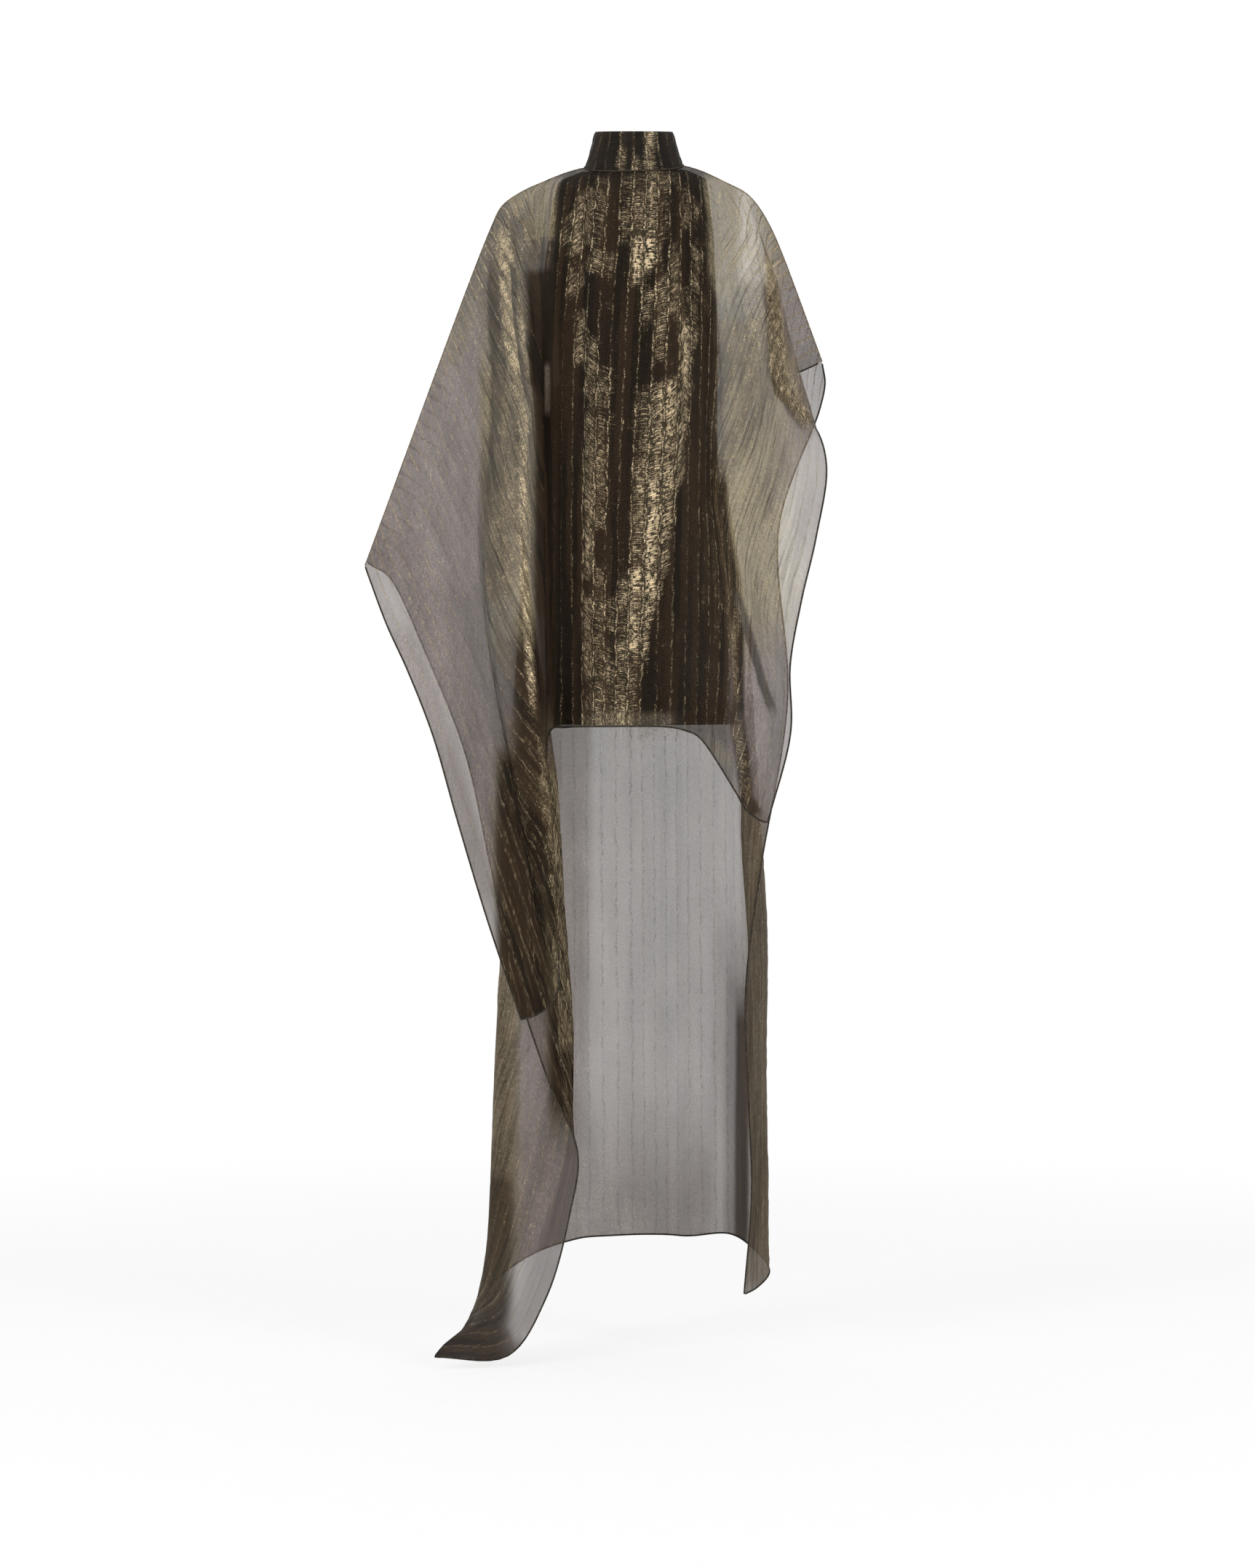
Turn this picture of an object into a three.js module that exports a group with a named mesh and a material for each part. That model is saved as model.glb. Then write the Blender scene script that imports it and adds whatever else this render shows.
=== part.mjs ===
// A worn high-neck kaftan: a stand collar, two sheer panels cut in one with wide sleeves,
// and an opaque underdress with halter armholes. The back panel falls to the floor, the front
// panel stops at the thigh, and both hang from the shoulder and arm line in deep folds.
// Millimetres, +Z up. The front faces -Y, and the origin is the middle of the neck.
import * as THREE from "three";

// ---- Driving dimensions ----
const CLOTH = 1.4; // wall of every sheet of cloth
const SEAM = 0.3; // clearance between two pieces that are sewn together
const HEM_ROLL = 2.6; // wall along a rolled hem
const HALF_SEAM = (CLOTH + SEAM) / 2;
const EASE = 10; // room between the underdress and the panels that lie on it
const ROUNDING = 120; // drop over which the cloth rounds from the shoulder to its full depth
const SEAM_ROWS = 2; // rows of a panel under its seam that have no rolled hem
const COLLAR_WALL = 3.2; // two layers and their interfacing
const SLIP_DROP = 2; // the underdress starts this far below the panels at the middle of the neck
const SLIP_SHOULDER_DROP = 4; // and this much lower still on the shoulders
const SLIP_HEM = -823;

const COLOUR = { sheer: 0xa49b8c, dark: 0x342c25, collar: 0x332b22 };

// Stations close under the arm line, where the cloth rounds over it: shares of a line's first drop
const START_SHARES = [0.08, 0.28];

// ---- The shoulder and arm line, from the left wrist to the right wrist: [x, y, z] ----
const ARM_LINE = [
  [-395, -55, -593],
  [-213, -8, -92],
  [-196, -5, -57],
  [-172, -2, -38],
  [-142, 0, -23],
  [-73, 0, 1],
  [73, 0, 4],
  [139, 0, -22],
  [168, 0, -38],
  [187, 0, -60],
  [205, 0, -92],
  [220, 0, -127],
  [279, 0, -286],
];

// ---- The worn body of the dress: where its sides, front and back are at each height ----
const SECTIONS = [
  { z: 0, left: -137, right: 126, front: 104, back: 94 },
  { z: -185, left: -137, right: 124, front: 106, back: 98 },
  { z: -400, left: -137, right: 123, front: 102, back: 94 },
  { z: -560, left: -134, right: 131, front: 104, back: 98 },
  { z: -690, left: -131, right: 148, front: 108, back: 104 },
  { z: -830, left: -126, right: 152, front: 110, back: 106 },
  { z: -1800, left: -126, right: 152, front: 110, back: 106 },
];
const COLLAR_SIDES = 36;
const NECK = { halfWidth: 73, front: 58, back: 55, frontDip: 10, backRise: 4 };

// ---- The collar, ring by ring from its seam to its open top ----
const COLLAR_RINGS = [
  { z: 1.3, halfWidth: 73, front: 58, back: 55 },
  { z: 14, halfWidth: 68, front: 54, back: 52 },
  { z: 34, halfWidth: 62, front: 50, back: 49 },
  { z: 50, halfWidth: 58, front: 47, back: 47 },
  { z: 55, halfWidth: 56, front: 45, back: 45 },
];

// ---- Front panel: fold lines from its left free edge to its right one ----
// arm: where the line leaves the arm line (x). fall: [x, y, z] from there down to the hem.
// tuck: the two turns of the pleat that is laid along the right arm.
const FRONT_LEFT_FOLDS = [
  {
    line: "left free edge",
    arm: -395,
    fall: [
      [-362, -76, -680],
      [-329, -92, -751],
      [-293, -104, -842],
      [-257, -124, -963],
      [-214, -142, -1103],
      [-165, -152, -1245],
    ],
  },
  {
    line: "outer sleeve",
    arm: -334,
    fall: [
      [-303, -80, -542],
      [-274, -94, -639],
      [-243, -106, -757],
      [-211, -120, -911],
      [-176, -144, -1078],
      [-141, -158, -1246],
    ],
  },
  {
    line: "inner sleeve",
    arm: -273,
    fall: [
      [-258, -68, -392],
      [-245, -82, -511],
      [-223, -98, -661],
      [-190, -114, -852],
      [-152, -146, -1052],
      [-121, -160, -1232],
    ],
  },
  {
    line: "trough",
    arm: -213,
    fall: [
      [-203, -54, -262],
      [-206, -64, -402],
      [-217, -76, -553],
      [-199, -98, -757],
      [-146, -140, -1021],
      [-113, -158, -1219],
    ],
  },
  {
    line: "gold ridge",
    arm: -187,
    fall: [
      [-172, -76, -212],
      [-150, -94, -321],
      [-163, -104, -503],
      [-154, -118, -705],
      [-120, -150, -979],
      [-108, -164, -1198],
    ],
  },
  {
    line: "return behind the ridge",
    arm: -172,
    fall: [
      [-158, -50, -194],
      [-142, -66, -308],
      [-145, -70, -490],
      [-143, -80, -671],
      [-131, -104, -842],
      [-122, -126, -1021],
    ],
  },
  {
    line: "left side",
    arm: -153,
    fall: [
      [-138, -54, -188],
      [-134, -60, -317],
      [-132, -62, -489],
      [-130, -66, -628],
      [-126, -72, -740],
      [-121, -80, -834],
    ],
  },
];
// The part that lies on the body: where each line starts, and where it meets the hem.
const FRONT_BODY_LINES = [
  { top: -104, hem: -103, hemZ: -831 },
  { top: -74, hem: -79, hemZ: -830 },
  { top: -66, hem: -68, hemZ: -830 },
  { top: -44, hem: -40, hemZ: -830 },
  { top: 0, hem: -3, hemZ: -830 },
  { top: 44, hem: 34, hemZ: -830 },
  { top: 66, hem: 58, hemZ: -832 },
  { top: 74, hem: 74, hemZ: -836 },
  { top: 100, hem: 94, hemZ: -845 },
];
const FRONT_RIGHT_FOLDS = [
  {
    line: "right side, pinched at the waist",
    arm: 130,
    fall: [
      [127, -50, -189],
      [123, -54, -339],
      [124, -58, -500],
      [137, -70, -618],
      [150, -84, -757],
      [147, -92, -924],
    ],
  },
  {
    line: "inner sleeve",
    arm: 171,
    fall: [
      [180, -60, -241],
      [174, -66, -403],
      [154, -72, -559],
      [168, -92, -672],
      [178, -108, -789],
      [163, -108, -952],
    ],
  },
  {
    line: "ridge of the tail",
    arm: 212,
    tuck: [
      [194, -22, -132],
      [204, -34, -148],
    ],
    fall: [
      [210, -54, -316],
      [199, -62, -467],
      [181, -78, -607],
      [189, -106, -704],
      [201, -116, -816],
      [173, -112, -960],
    ],
  },
  {
    line: "outer sleeve",
    arm: 245,
    tuck: [
      [200, -24, -227],
      [226, -38, -245],
    ],
    fall: [
      [236, -50, -375],
      [228, -60, -499],
      [214, -72, -617],
      [210, -92, -718],
      [216, -104, -826],
      [184, -108, -967],
    ],
  },
  {
    line: "right free edge",
    arm: 279,
    tuck: [
      [207, -24, -332],
      [265, -36, -385],
    ],
    fall: [
      [283, -44, -444],
      [267, -56, -552],
      [245, -68, -645],
      [228, -80, -740],
      [228, -90, -839],
      [194, -104, -970],
    ],
  },
];
const FRONT_BODY_SHARES = [0.02, 0.07, 0.2, 0.36, 0.52, 0.68, 0.84, 1];
const FRONT_STEPS_DOWN = [3, 3, 4, 2, 2, 2, 2, 2];

// ---- Back panel: fold lines from its left free edge to its right one ----
// On the left the panel turns forward at an outer fold, and back at an inner fold, and its free
// edge trails to the floor. On the right it does the same more shallowly.
const BACK_LEFT_FOLDS = [
  {
    line: "left free edge",
    arm: -393,
    fall: [
      [-361, -44, -608],
      [-305, -48, -724],
      [-246, -80, -871],
      [-211, -112, -1021],
      [-176, -126, -1184],
      [-123, -134, -1345],
      [-82, -132, -1446],
      [-93, -124, -1535],
      [-128, -120, -1659],
      [-183, -128, -1741],
      [-288, -150, -1739],
    ],
  },
  {
    line: "sleeve",
    arm: -308,
    fall: [
      [-292, -12, -422],
      [-248, -14, -584],
      [-191, -54, -788],
      [-165, -98, -948],
      [-139, -112, -1116],
      [-105, -120, -1306],
      [-87, -122, -1434],
      [-104, -114, -1522],
      [-144, -108, -1640],
      [-195, -114, -1709],
      [-275, -136, -1725],
    ],
  },
  {
    line: "inner fold",
    arm: -219,
    fall: [
      [-211, 20, -182],
      [-195, 22, -399],
      [-146, -24, -691],
      [-113, -74, -895],
      [-100, -88, -1096],
      [-88, -94, -1292],
      [-95, -104, -1423],
      [-116, -100, -1509],
      [-161, -94, -1624],
      [-205, -100, -1684],
      [-263, -120, -1717],
    ],
  },
  {
    line: "between the folds",
    arm: -198,
    fall: [
      [-190, 34, -148],
      [-177, 44, -353],
      [-159, 12, -646],
      [-151, -26, -905],
      [-146, -42, -1103],
      [-144, -50, -1298],
      [-148, -58, -1424],
      [-164, -60, -1505],
      [-192, -62, -1611],
      [-220, -68, -1667],
      [-252, -88, -1712],
    ],
  },
  {
    line: "outer fold",
    arm: -172,
    fall: [
      [-169, 46, -113],
      [-163, 70, -328],
      [-171, 54, -644],
      [-189, 22, -910],
      [-195, 2, -1100],
      [-205, -6, -1301],
      [-210, -12, -1429],
      [-213, -16, -1510],
      [-220, -24, -1614],
      [-230, -30, -1665],
      [-241, -44, -1706],
    ],
  },
  {
    line: "back, left",
    arm: -147,
    fall: [
      [-150, 56, -99],
      [-146, 88, -302],
      [-147, 88, -608],
      [-159, 72, -905],
      [-165, 60, -1102],
      [-174, 50, -1305],
      [-180, 42, -1428],
      [-184, 36, -1505],
      [-189, 26, -1580],
      [-199, 18, -1623],
      [-211, 4, -1657],
    ],
  },
];
// Lines that simply hang: sampled at the shares of their own drop in BACK_SHARES.
const BACK_SHARES = [0, 0.006, 0.022, 0.05, 0.175, 0.365, 0.55, 0.675, 0.8, 0.88, 0.93, 0.965, 0.985, 1];
const BACK_BODY_LINES = [
  { top: -112, bottom: [-146, 70, -1618], hang: 104 },
  { top: -74, bottom: [-86, 98, -1602], hang: 112 },
  { top: -66, bottom: [-72, 102, -1600], hang: 115 },
  { top: -44, bottom: [-36, 111, -1599], hang: 118 },
  { top: 0, bottom: [10, 118, -1598], hang: 120 },
  { top: 44, bottom: [52, 115, -1598], hang: 119 },
  { top: 66, bottom: [78, 108, -1599], hang: 117 },
  { top: 74, bottom: [92, 104, -1598], hang: 115 },
  { top: 126, bottom: [142, 92, -1593], hang: 104 },
];
const BACK_RIGHT_FOLDS = [
  {
    line: "soft pleat",
    arm: 163,
    fall: [
      [169, 72, -280],
      [159, 78, -587],
      [154, 74, -828],
      [165, 66, -1222],
      [174, 54, -1606],
    ],
  },
  {
    line: "outer fold",
    arm: 193,
    fall: [
      [201, 54, -329],
      [177, 46, -601],
      [168, 28, -807],
      [194, 8, -1008],
      [197, 6, -1348],
      [201, -2, -1637],
    ],
  },
  {
    line: "inner fold",
    arm: 238,
    fall: [
      [216, 38, -397],
      [180, 24, -581],
      [172, -10, -755],
      [157, -36, -980],
      [173, -34, -1195],
      [182, -30, -1480],
      [181, -30, -1657],
    ],
  },
  {
    line: "right free edge",
    arm: 279,
    fall: [
      [284, 16, -327],
      [250, 26, -425],
      [196, 6, -598],
      [188, -12, -655],
      [225, -40, -739],
      [203, -58, -937],
      [166, -50, -1172],
      [167, -46, -1340],
      [173, -42, -1516],
      [162, -38, -1666],
    ],
  },
];
const BACK_STEPS_DOWN = [1, 1, 1, 2, 2, 2, 2, 2, 2, 2, 2, 2, 2];

// ---- Underdress ----
// Its halter armholes, as [x, z] from one side seam over the neck to the other.
const ARMHOLE = [
  [-137, -185],
  [-131, -149],
  [-125, -110],
  [-119, -60],
  [-112, -26],
  [-107, -17],
  [-73, -3],
  [73, 0],
  [105, -14],
  [111, -50],
  [117, -110],
  [121, -170],
  [123, -225],
  [124, -268],
];
const SLIP_COLUMNS = [
  -137, -135, -128, -118, -104, -74, -66, -44, 0, 44, 66, 74, 96, 110, 120, 125, 126,
];
// Where its columns start along the top, and its rows as shares of each column's drop.
const SLIP_SHARES = [0, 0.02, 0.06, 0.12, 0.2, 0.32, 0.46, 0.64, 0.82, 1];

// ---- Helpers ----
const clamp01 = (t) => Math.min(1, Math.max(0, t));

// The height over x in a table of [x, z] rows.
function heightOver(table, x) {
  const last = table.length - 2;
  const i = Math.min(last, Math.max(0, table.findIndex((row) => row[0] >= x) - 1));
  const share = clamp01((x - table[i][0]) / (table[i + 1][0] - table[i][0]));
  return THREE.MathUtils.lerp(table[i][1], table[i + 1][1], share);
}

// A point of the shoulder and arm line; side is -1 for the front panel and +1 for the back.
function armPoint(x, side) {
  const y = heightOver(ARM_LINE.map((row) => [row[0], row[1]]), x);
  const z = heightOver(ARM_LINE.map((row) => [row[0], row[2]]), x);
  return new THREE.Vector3(x, y + side * HALF_SEAM, z);
}

// The neck seam: an oval, a little lower in front and higher behind.
function neckPoint(x, side, inset) {
  const around = Math.sqrt(Math.max(0, 1 - (x / NECK.halfWidth) ** 2));
  const depth = (side < 0 ? NECK.front : NECK.back) - inset;
  const rise = side < 0 ? -NECK.frontDip : NECK.backRise;
  const z = heightOver(ARM_LINE.map((row) => [row[0], row[2]]), x) + rise * around;
  return new THREE.Vector3(x, side * Math.max(HALF_SEAM, depth * around), z - SEAM);
}

// Where a panel starts above the body: on the neck seam, or on the shoulder outside it.
const topPoint = (x, side, inset) =>
  Math.abs(x) < NECK.halfWidth ? neckPoint(x, side, inset) : armPoint(x, side);

function sectionAt(z) {
  const i = Math.max(1, SECTIONS.findIndex((s) => s.z <= z));
  const above = SECTIONS[i - 1];
  const below = SECTIONS[i] ?? SECTIONS[SECTIONS.length - 1];
  const share = above.z === below.z ? 0 : clamp01((above.z - z) / (above.z - below.z));
  const mix = (key) => THREE.MathUtils.lerp(above[key], below[key], share);
  return { left: mix("left"), right: mix("right"), front: mix("front"), back: mix("back") };
}

// The depth of the worn cloth over the body at (x, z). It starts lowered below the panels' top.
function bodyDepth(x, z, side, ease, lowered = 0) {
  const s = sectionAt(z);
  const across = (x - (s.left + s.right) / 2) / ((s.right - s.left) / 2 + ease);
  const full = (side < 0 ? s.front : s.back) + ease;
  const depth = side * full * Math.sqrt(Math.max(0, 1 - across * across));
  const top = topPoint(x, side, 0);
  const drop = clamp01((top.z - lowered - z) / ROUNDING);
  const round = Math.sqrt(1 - (1 - drop) ** 2);
  return top.y + (depth - top.y) * round;
}

const vector = ([x, y, z]) => new THREE.Vector3(x, y, z);
const smoothLine = (points) => new THREE.CatmullRomCurve3(points, false, "centripetal");

// The point of a falling line at a share of its drop.
function atDrop(line, share) {
  const top = line.getPoint(0).z;
  const bottom = line.getPoint(1).z;
  const z = THREE.MathUtils.lerp(top, bottom, share);
  let low = 0;
  let high = 1;
  for (let i = 0; i < 30; i++) {
    const middle = (low + high) / 2;
    if (line.getPoint(middle).z > z) low = middle;
    else high = middle;
  }
  return line.getPoint((low + high) / 2);
}

// ---- Fold lines as lists of stations ----
function roundedStart(top, first) {
  return START_SHARES.map((share) => {
    const point = top.clone().lerp(first, share);
    point.y = THREE.MathUtils.lerp(top.y, first.y, Math.sqrt(share * (2 - share)));
    return point;
  });
}

function frontFold({ arm, tuck, fall }) {
  const top = armPoint(arm, -1);
  const start = tuck ? tuck.map(vector) : roundedStart(top, vector(fall[0]));
  return [top, ...start, ...fall.map(vector)];
}

function frontBodyLine({ top, hem, hemZ }) {
  const start = topPoint(top, -1, -HALF_SEAM);
  const rest = FRONT_BODY_SHARES.map((share) => {
    const x = THREE.MathUtils.lerp(top, hem, share);
    const z = THREE.MathUtils.lerp(start.z, hemZ, share);
    return new THREE.Vector3(x, bodyDepth(x, z, -1, EASE), z);
  });
  return [start, ...rest];
}

function backBodyLine({ top, bottom, hang }) {
  const start = topPoint(top, 1, -HALF_SEAM);
  const [endX, endY, endZ] = bottom;
  const chestShare = 0.18;
  return BACK_SHARES.map((share) => {
    if (share === 0) return start;
    const x = THREE.MathUtils.lerp(top, endX, share);
    const z = THREE.MathUtils.lerp(start.z, endZ, share);
    const below = clamp01((share - chestShare) / (1 - chestShare));
    const full = THREE.MathUtils.lerp(hang, endY, below ** 2);
    const drop = clamp01((start.z - z) / ROUNDING);
    const round = Math.sqrt(1 - (1 - drop) ** 2);
    return new THREE.Vector3(x, THREE.MathUtils.lerp(start.y, full, round), z);
  });
}

function backLongFold({ arm, fall }) {
  const top = armPoint(arm, 1);
  return [top, ...roundedStart(top, vector(fall[0])), ...fall.map(vector)];
}

function backHangingFold({ arm, fall }) {
  const line = smoothLine([armPoint(arm, 1), ...fall.map(vector)]);
  return BACK_SHARES.map((share) => atDrop(line, share));
}

// A point on the straight stretches between points.
function pointBetween(points, u) {
  const place = u * (points.length - 1);
  const i = Math.min(points.length - 2, Math.floor(place));
  return points[i].clone().lerp(points[i + 1], place - i);
}

// ---- A sheet of cloth from its fold lines ----
// Each line is smoothed along its stations, then each row is smoothed across the lines. The
// first row is the seam, which both panels share, so it runs straight from line to line.
function clothGrid(lines, stepsDown, stepsAcross) {
  const stations = (steps, count) => {
    const ts = [0];
    for (let k = 0; k < count; k++)
      for (let i = 1; i <= steps[k]; i++) ts.push((k + i / steps[k]) / count);
    return ts;
  };
  const down = stations(stepsDown, lines[0].length - 1);
  const across = stations(stepsAcross, lines.length - 1);
  const curves = lines.map(smoothLine);
  return down.map((t) => {
    const points = curves.map((curve) => curve.getPoint(t));
    if (t === 0) return across.map((u) => pointBetween(points, u));
    const row = smoothLine(points);
    return across.map((u) => row.getPoint(u));
  });
}

// Whether a place in a panel's grid is on a rolled hem: its foot, or a free edge below the seam.
function rolledEdges(grid) {
  const foot = grid.length - 1;
  const right = grid[0].length - 1;
  return (i, j) => i === foot || (i > SEAM_ROWS && (j === 0 || j === right));
}

// A closed thin wall around a grid of points.
function wallOf(grid, rolled = () => false) {
  const rows = grid.length;
  const columns = grid[0].length;
  const at = (i, j) =>
    grid[Math.min(rows - 1, Math.max(0, i))][Math.min(columns - 1, Math.max(0, j))];
  const positions = [];
  for (const face of [1, -1])
    for (let i = 0; i < rows; i++)
      for (let j = 0; j < columns; j++) {
        const across = at(i, j + 1).clone().sub(at(i, j - 1));
        const down = at(i + 1, j).clone().sub(at(i - 1, j));
        const normal = across.cross(down).normalize();
        const half = (rolled(i, j) ? HEM_ROLL : CLOTH) / 2;
        const point = at(i, j).clone().addScaledVector(normal, face * half);
        positions.push(point.x, point.y, point.z);
      }
  const front = (i, j) => i * columns + j;
  const behind = (i, j) => rows * columns + i * columns + j;
  const index = [];
  const quad = (a, b, c, d) => index.push(a, b, c, a, c, d);
  for (let i = 0; i < rows - 1; i++)
    for (let j = 0; j < columns - 1; j++) {
      quad(front(i, j), front(i, j + 1), front(i + 1, j + 1), front(i + 1, j));
      quad(behind(i, j), behind(i + 1, j), behind(i + 1, j + 1), behind(i, j + 1));
    }
  for (let j = 0; j < columns - 1; j++) {
    const last = rows - 1;
    quad(front(0, j + 1), front(0, j), behind(0, j), behind(0, j + 1));
    quad(front(last, j), front(last, j + 1), behind(last, j + 1), behind(last, j));
  }
  for (let i = 0; i < rows - 1; i++) {
    const last = columns - 1;
    quad(front(i, 0), front(i + 1, 0), behind(i + 1, 0), behind(i, 0));
    quad(front(i + 1, last), front(i, last), behind(i, last), behind(i + 1, last));
  }
  const geometry = new THREE.BufferGeometry();
  geometry.setAttribute("position", new THREE.Float32BufferAttribute(positions, 3));
  geometry.setIndex(index);
  geometry.computeVertexNormals();
  return geometry;
}

const cloth = (color, roughness, metalness) =>
  new THREE.MeshStandardMaterial({ color, roughness, metalness, side: THREE.DoubleSide });

function piece(name, geometry, material) {
  const mesh = new THREE.Mesh(geometry, material);
  mesh.name = name;
  return mesh;
}

// ---- Pieces ----
function frontPanel() {
  const lines = [
    ...FRONT_LEFT_FOLDS.map(frontFold),
    ...FRONT_BODY_LINES.map(frontBodyLine),
    ...FRONT_RIGHT_FOLDS.map(frontFold),
  ];
  const steps = [2, 2, 2, 3, 3, 2, 1, 1, 1, 1, 1, 1, 1, 1, 1, 2, 2, 2, 2, 2];
  const grid = clothGrid(lines, FRONT_STEPS_DOWN, steps);
  return piece("front_panel", wallOf(grid, rolledEdges(grid)), cloth(COLOUR.sheer, 0.45, 0.2));
}

function backPanel() {
  const lines = [
    ...BACK_LEFT_FOLDS.map(backLongFold),
    ...BACK_BODY_LINES.map(backBodyLine),
    ...BACK_RIGHT_FOLDS.map(backHangingFold),
  ];
  const steps = [2, 3, 3, 3, 2, 2, 1, 1, 1, 1, 1, 1, 1, 2, 2, 3, 3, 3];
  const grid = clothGrid(lines, BACK_STEPS_DOWN, steps);
  return piece("back_panel", wallOf(grid, rolledEdges(grid)), cloth(COLOUR.sheer, 0.45, 0.2));
}

function slipHalf(name, side) {
  const grid = [];
  const shoulder = sectionAt(0);
  for (const share of SLIP_SHARES) {
    const row = [];
    for (const topX of SLIP_COLUMNS) {
      const across = (topX - shoulder.left) / (shoulder.right - shoulder.left);
      const atX = (z) => THREE.MathUtils.lerp(sectionAt(z).left, sectionAt(z).right, across);
      const inNeck = Math.abs(topX) < NECK.halfWidth;
      const edge = inNeck ? neckPoint(topX, side, 0).z : heightOver(ARMHOLE, topX);
      const outward = Math.min(1, Math.abs(topX) / NECK.halfWidth) ** 2;
      const lowered = SLIP_DROP + SLIP_SHOULDER_DROP * outward;
      const z = THREE.MathUtils.lerp(edge - lowered, SLIP_HEM, share);
      const x = atX(z);
      const depth = bodyDepth(x, z, side, 0, lowered);
      row.push(new THREE.Vector3(x, side * Math.max(HALF_SEAM, side * depth), z));
    }
    grid.push(row);
  }
  return piece(name, wallOf(grid), cloth(COLOUR.dark, 0.6, 0.05));
}

function collar() {
  const positions = [];
  const index = [];
  const count = COLLAR_RINGS.length;
  const ring = (k, inset) => {
    const { z, halfWidth, front, back } = COLLAR_RINGS[k];
    for (let i = 0; i < COLLAR_SIDES; i++) {
      const angle = (i / COLLAR_SIDES) * 2 * Math.PI;
      const side = Math.sin(angle) < 0 ? -1 : 1;
      const seam = neckPoint(NECK.halfWidth * Math.cos(angle), side, 0).z;
      const x = (halfWidth - inset) * Math.cos(angle);
      const y = ((side < 0 ? front : back) - inset) * Math.sin(angle);
      positions.push(x, y, z + seam * (1 - k / (count - 1)));
    }
  };
  for (let k = 0; k < count; k++) ring(k, -COLLAR_WALL / 2);
  for (let k = count - 1; k >= 0; k--) ring(k, COLLAR_WALL / 2);
  const rings = 2 * count;
  for (let k = 0; k < rings; k++)
    for (let i = 0; i < COLLAR_SIDES; i++) {
      const a = k * COLLAR_SIDES + i;
      const b = k * COLLAR_SIDES + ((i + 1) % COLLAR_SIDES);
      const c = ((k + 1) % rings) * COLLAR_SIDES + ((i + 1) % COLLAR_SIDES);
      const d = ((k + 1) % rings) * COLLAR_SIDES + i;
      index.push(a, b, c, a, c, d);
    }
  const geometry = new THREE.BufferGeometry();
  geometry.setAttribute("position", new THREE.Float32BufferAttribute(positions, 3));
  geometry.setIndex(index);
  geometry.computeVertexNormals();
  return piece("collar", geometry, cloth(COLOUR.collar, 0.6, 0.05));
}

const kaftan = new THREE.Group();
kaftan.name = "kaftan";
kaftan.add(collar(), frontPanel(), backPanel());
kaftan.add(slipHalf("slip_front", -1), slipHalf("slip_back", 1));

export default kaftan;
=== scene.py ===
import math

import bmesh
import bpy
import numpy as np
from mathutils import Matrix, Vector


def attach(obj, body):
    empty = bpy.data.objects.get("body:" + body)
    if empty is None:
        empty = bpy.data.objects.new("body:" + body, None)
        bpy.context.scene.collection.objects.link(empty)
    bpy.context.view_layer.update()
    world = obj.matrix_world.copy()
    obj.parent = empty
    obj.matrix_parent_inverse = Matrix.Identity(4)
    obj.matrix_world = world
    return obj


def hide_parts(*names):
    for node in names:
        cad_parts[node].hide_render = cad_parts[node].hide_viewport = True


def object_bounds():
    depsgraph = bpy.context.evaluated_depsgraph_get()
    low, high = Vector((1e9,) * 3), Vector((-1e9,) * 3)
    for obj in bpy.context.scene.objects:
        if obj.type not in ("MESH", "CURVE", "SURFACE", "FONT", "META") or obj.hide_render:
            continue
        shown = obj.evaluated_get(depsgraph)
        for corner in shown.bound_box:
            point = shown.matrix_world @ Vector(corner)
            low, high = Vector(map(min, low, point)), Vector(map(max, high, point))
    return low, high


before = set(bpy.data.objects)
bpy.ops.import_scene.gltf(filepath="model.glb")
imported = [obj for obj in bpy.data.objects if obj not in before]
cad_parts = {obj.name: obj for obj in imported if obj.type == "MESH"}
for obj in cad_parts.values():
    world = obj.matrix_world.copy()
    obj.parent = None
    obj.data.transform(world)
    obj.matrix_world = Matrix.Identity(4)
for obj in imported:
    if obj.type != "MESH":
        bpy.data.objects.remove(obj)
CAD_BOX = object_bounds()

bl_info = {
    "name": "Sheer lame kaftan",
    "version": (1, 0, 0),
    "blender": (4, 5, 0),
    "location": "View3D > Sidebar > Kaftan",
    "description": "Sews a high-neck kaftan of sheer striped lame over a short opaque underdress",
    "category": "Object",
}

MM = 0.001
SEAM_GAP = 0.35  # from a seam line to the cloth of each panel, in millimetres
EASE = 10.0  # room between the underdress and the panels that lie on it
ROUNDING = 120.0  # drop over which the cloth rounds from the shoulder to its full depth
SLIP_DROP = 2.0  # how far the underdress's edge lies below the neck seam
SLIP_SHOULDER_DROP = 4.0  # how much further it lies below the arm line
SLIP_HEM = -823.0
START_SHARES = (0.08, 0.28)  # of a fold line's first part, where it gets stations of its own

# ---- Tables of the garment's lines, in millimetres ----
# The line along the shoulders and arms, where the two panels meet
ARM_LINE = [
    (-395, -55, -593),
    (-213, -8, -92),
    (-196, -5, -57),
    (-172, -2, -38),
    (-142, 0, -23),
    (-73, 0, 1),
    (73, 0, 4),
    (139, 0, -22),
    (168, 0, -38),
    (187, 0, -60),
    (205, 0, -92),
    (220, 0, -127),
    (279, 0, -286),
]
# height, left side, right side, front and back of the worn body
SECTIONS = [
    (-1800, -126, 152, 110, 106),
    (-830, -126, 152, 110, 106),
    (-690, -131, 148, 108, 104),
    (-560, -134, 131, 104, 98),
    (-400, -137, 123, 102, 94),
    (-185, -137, 124, 106, 98),
    (0, -137, 126, 104, 94),
]
NECK_HALF_WIDTH, NECK_FRONT, NECK_BACK = 73.0, 58.0, 55.0
NECK_DIP, NECK_RISE = 23.0, 4.0  # of the neck seam's middle, in front and behind
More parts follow.
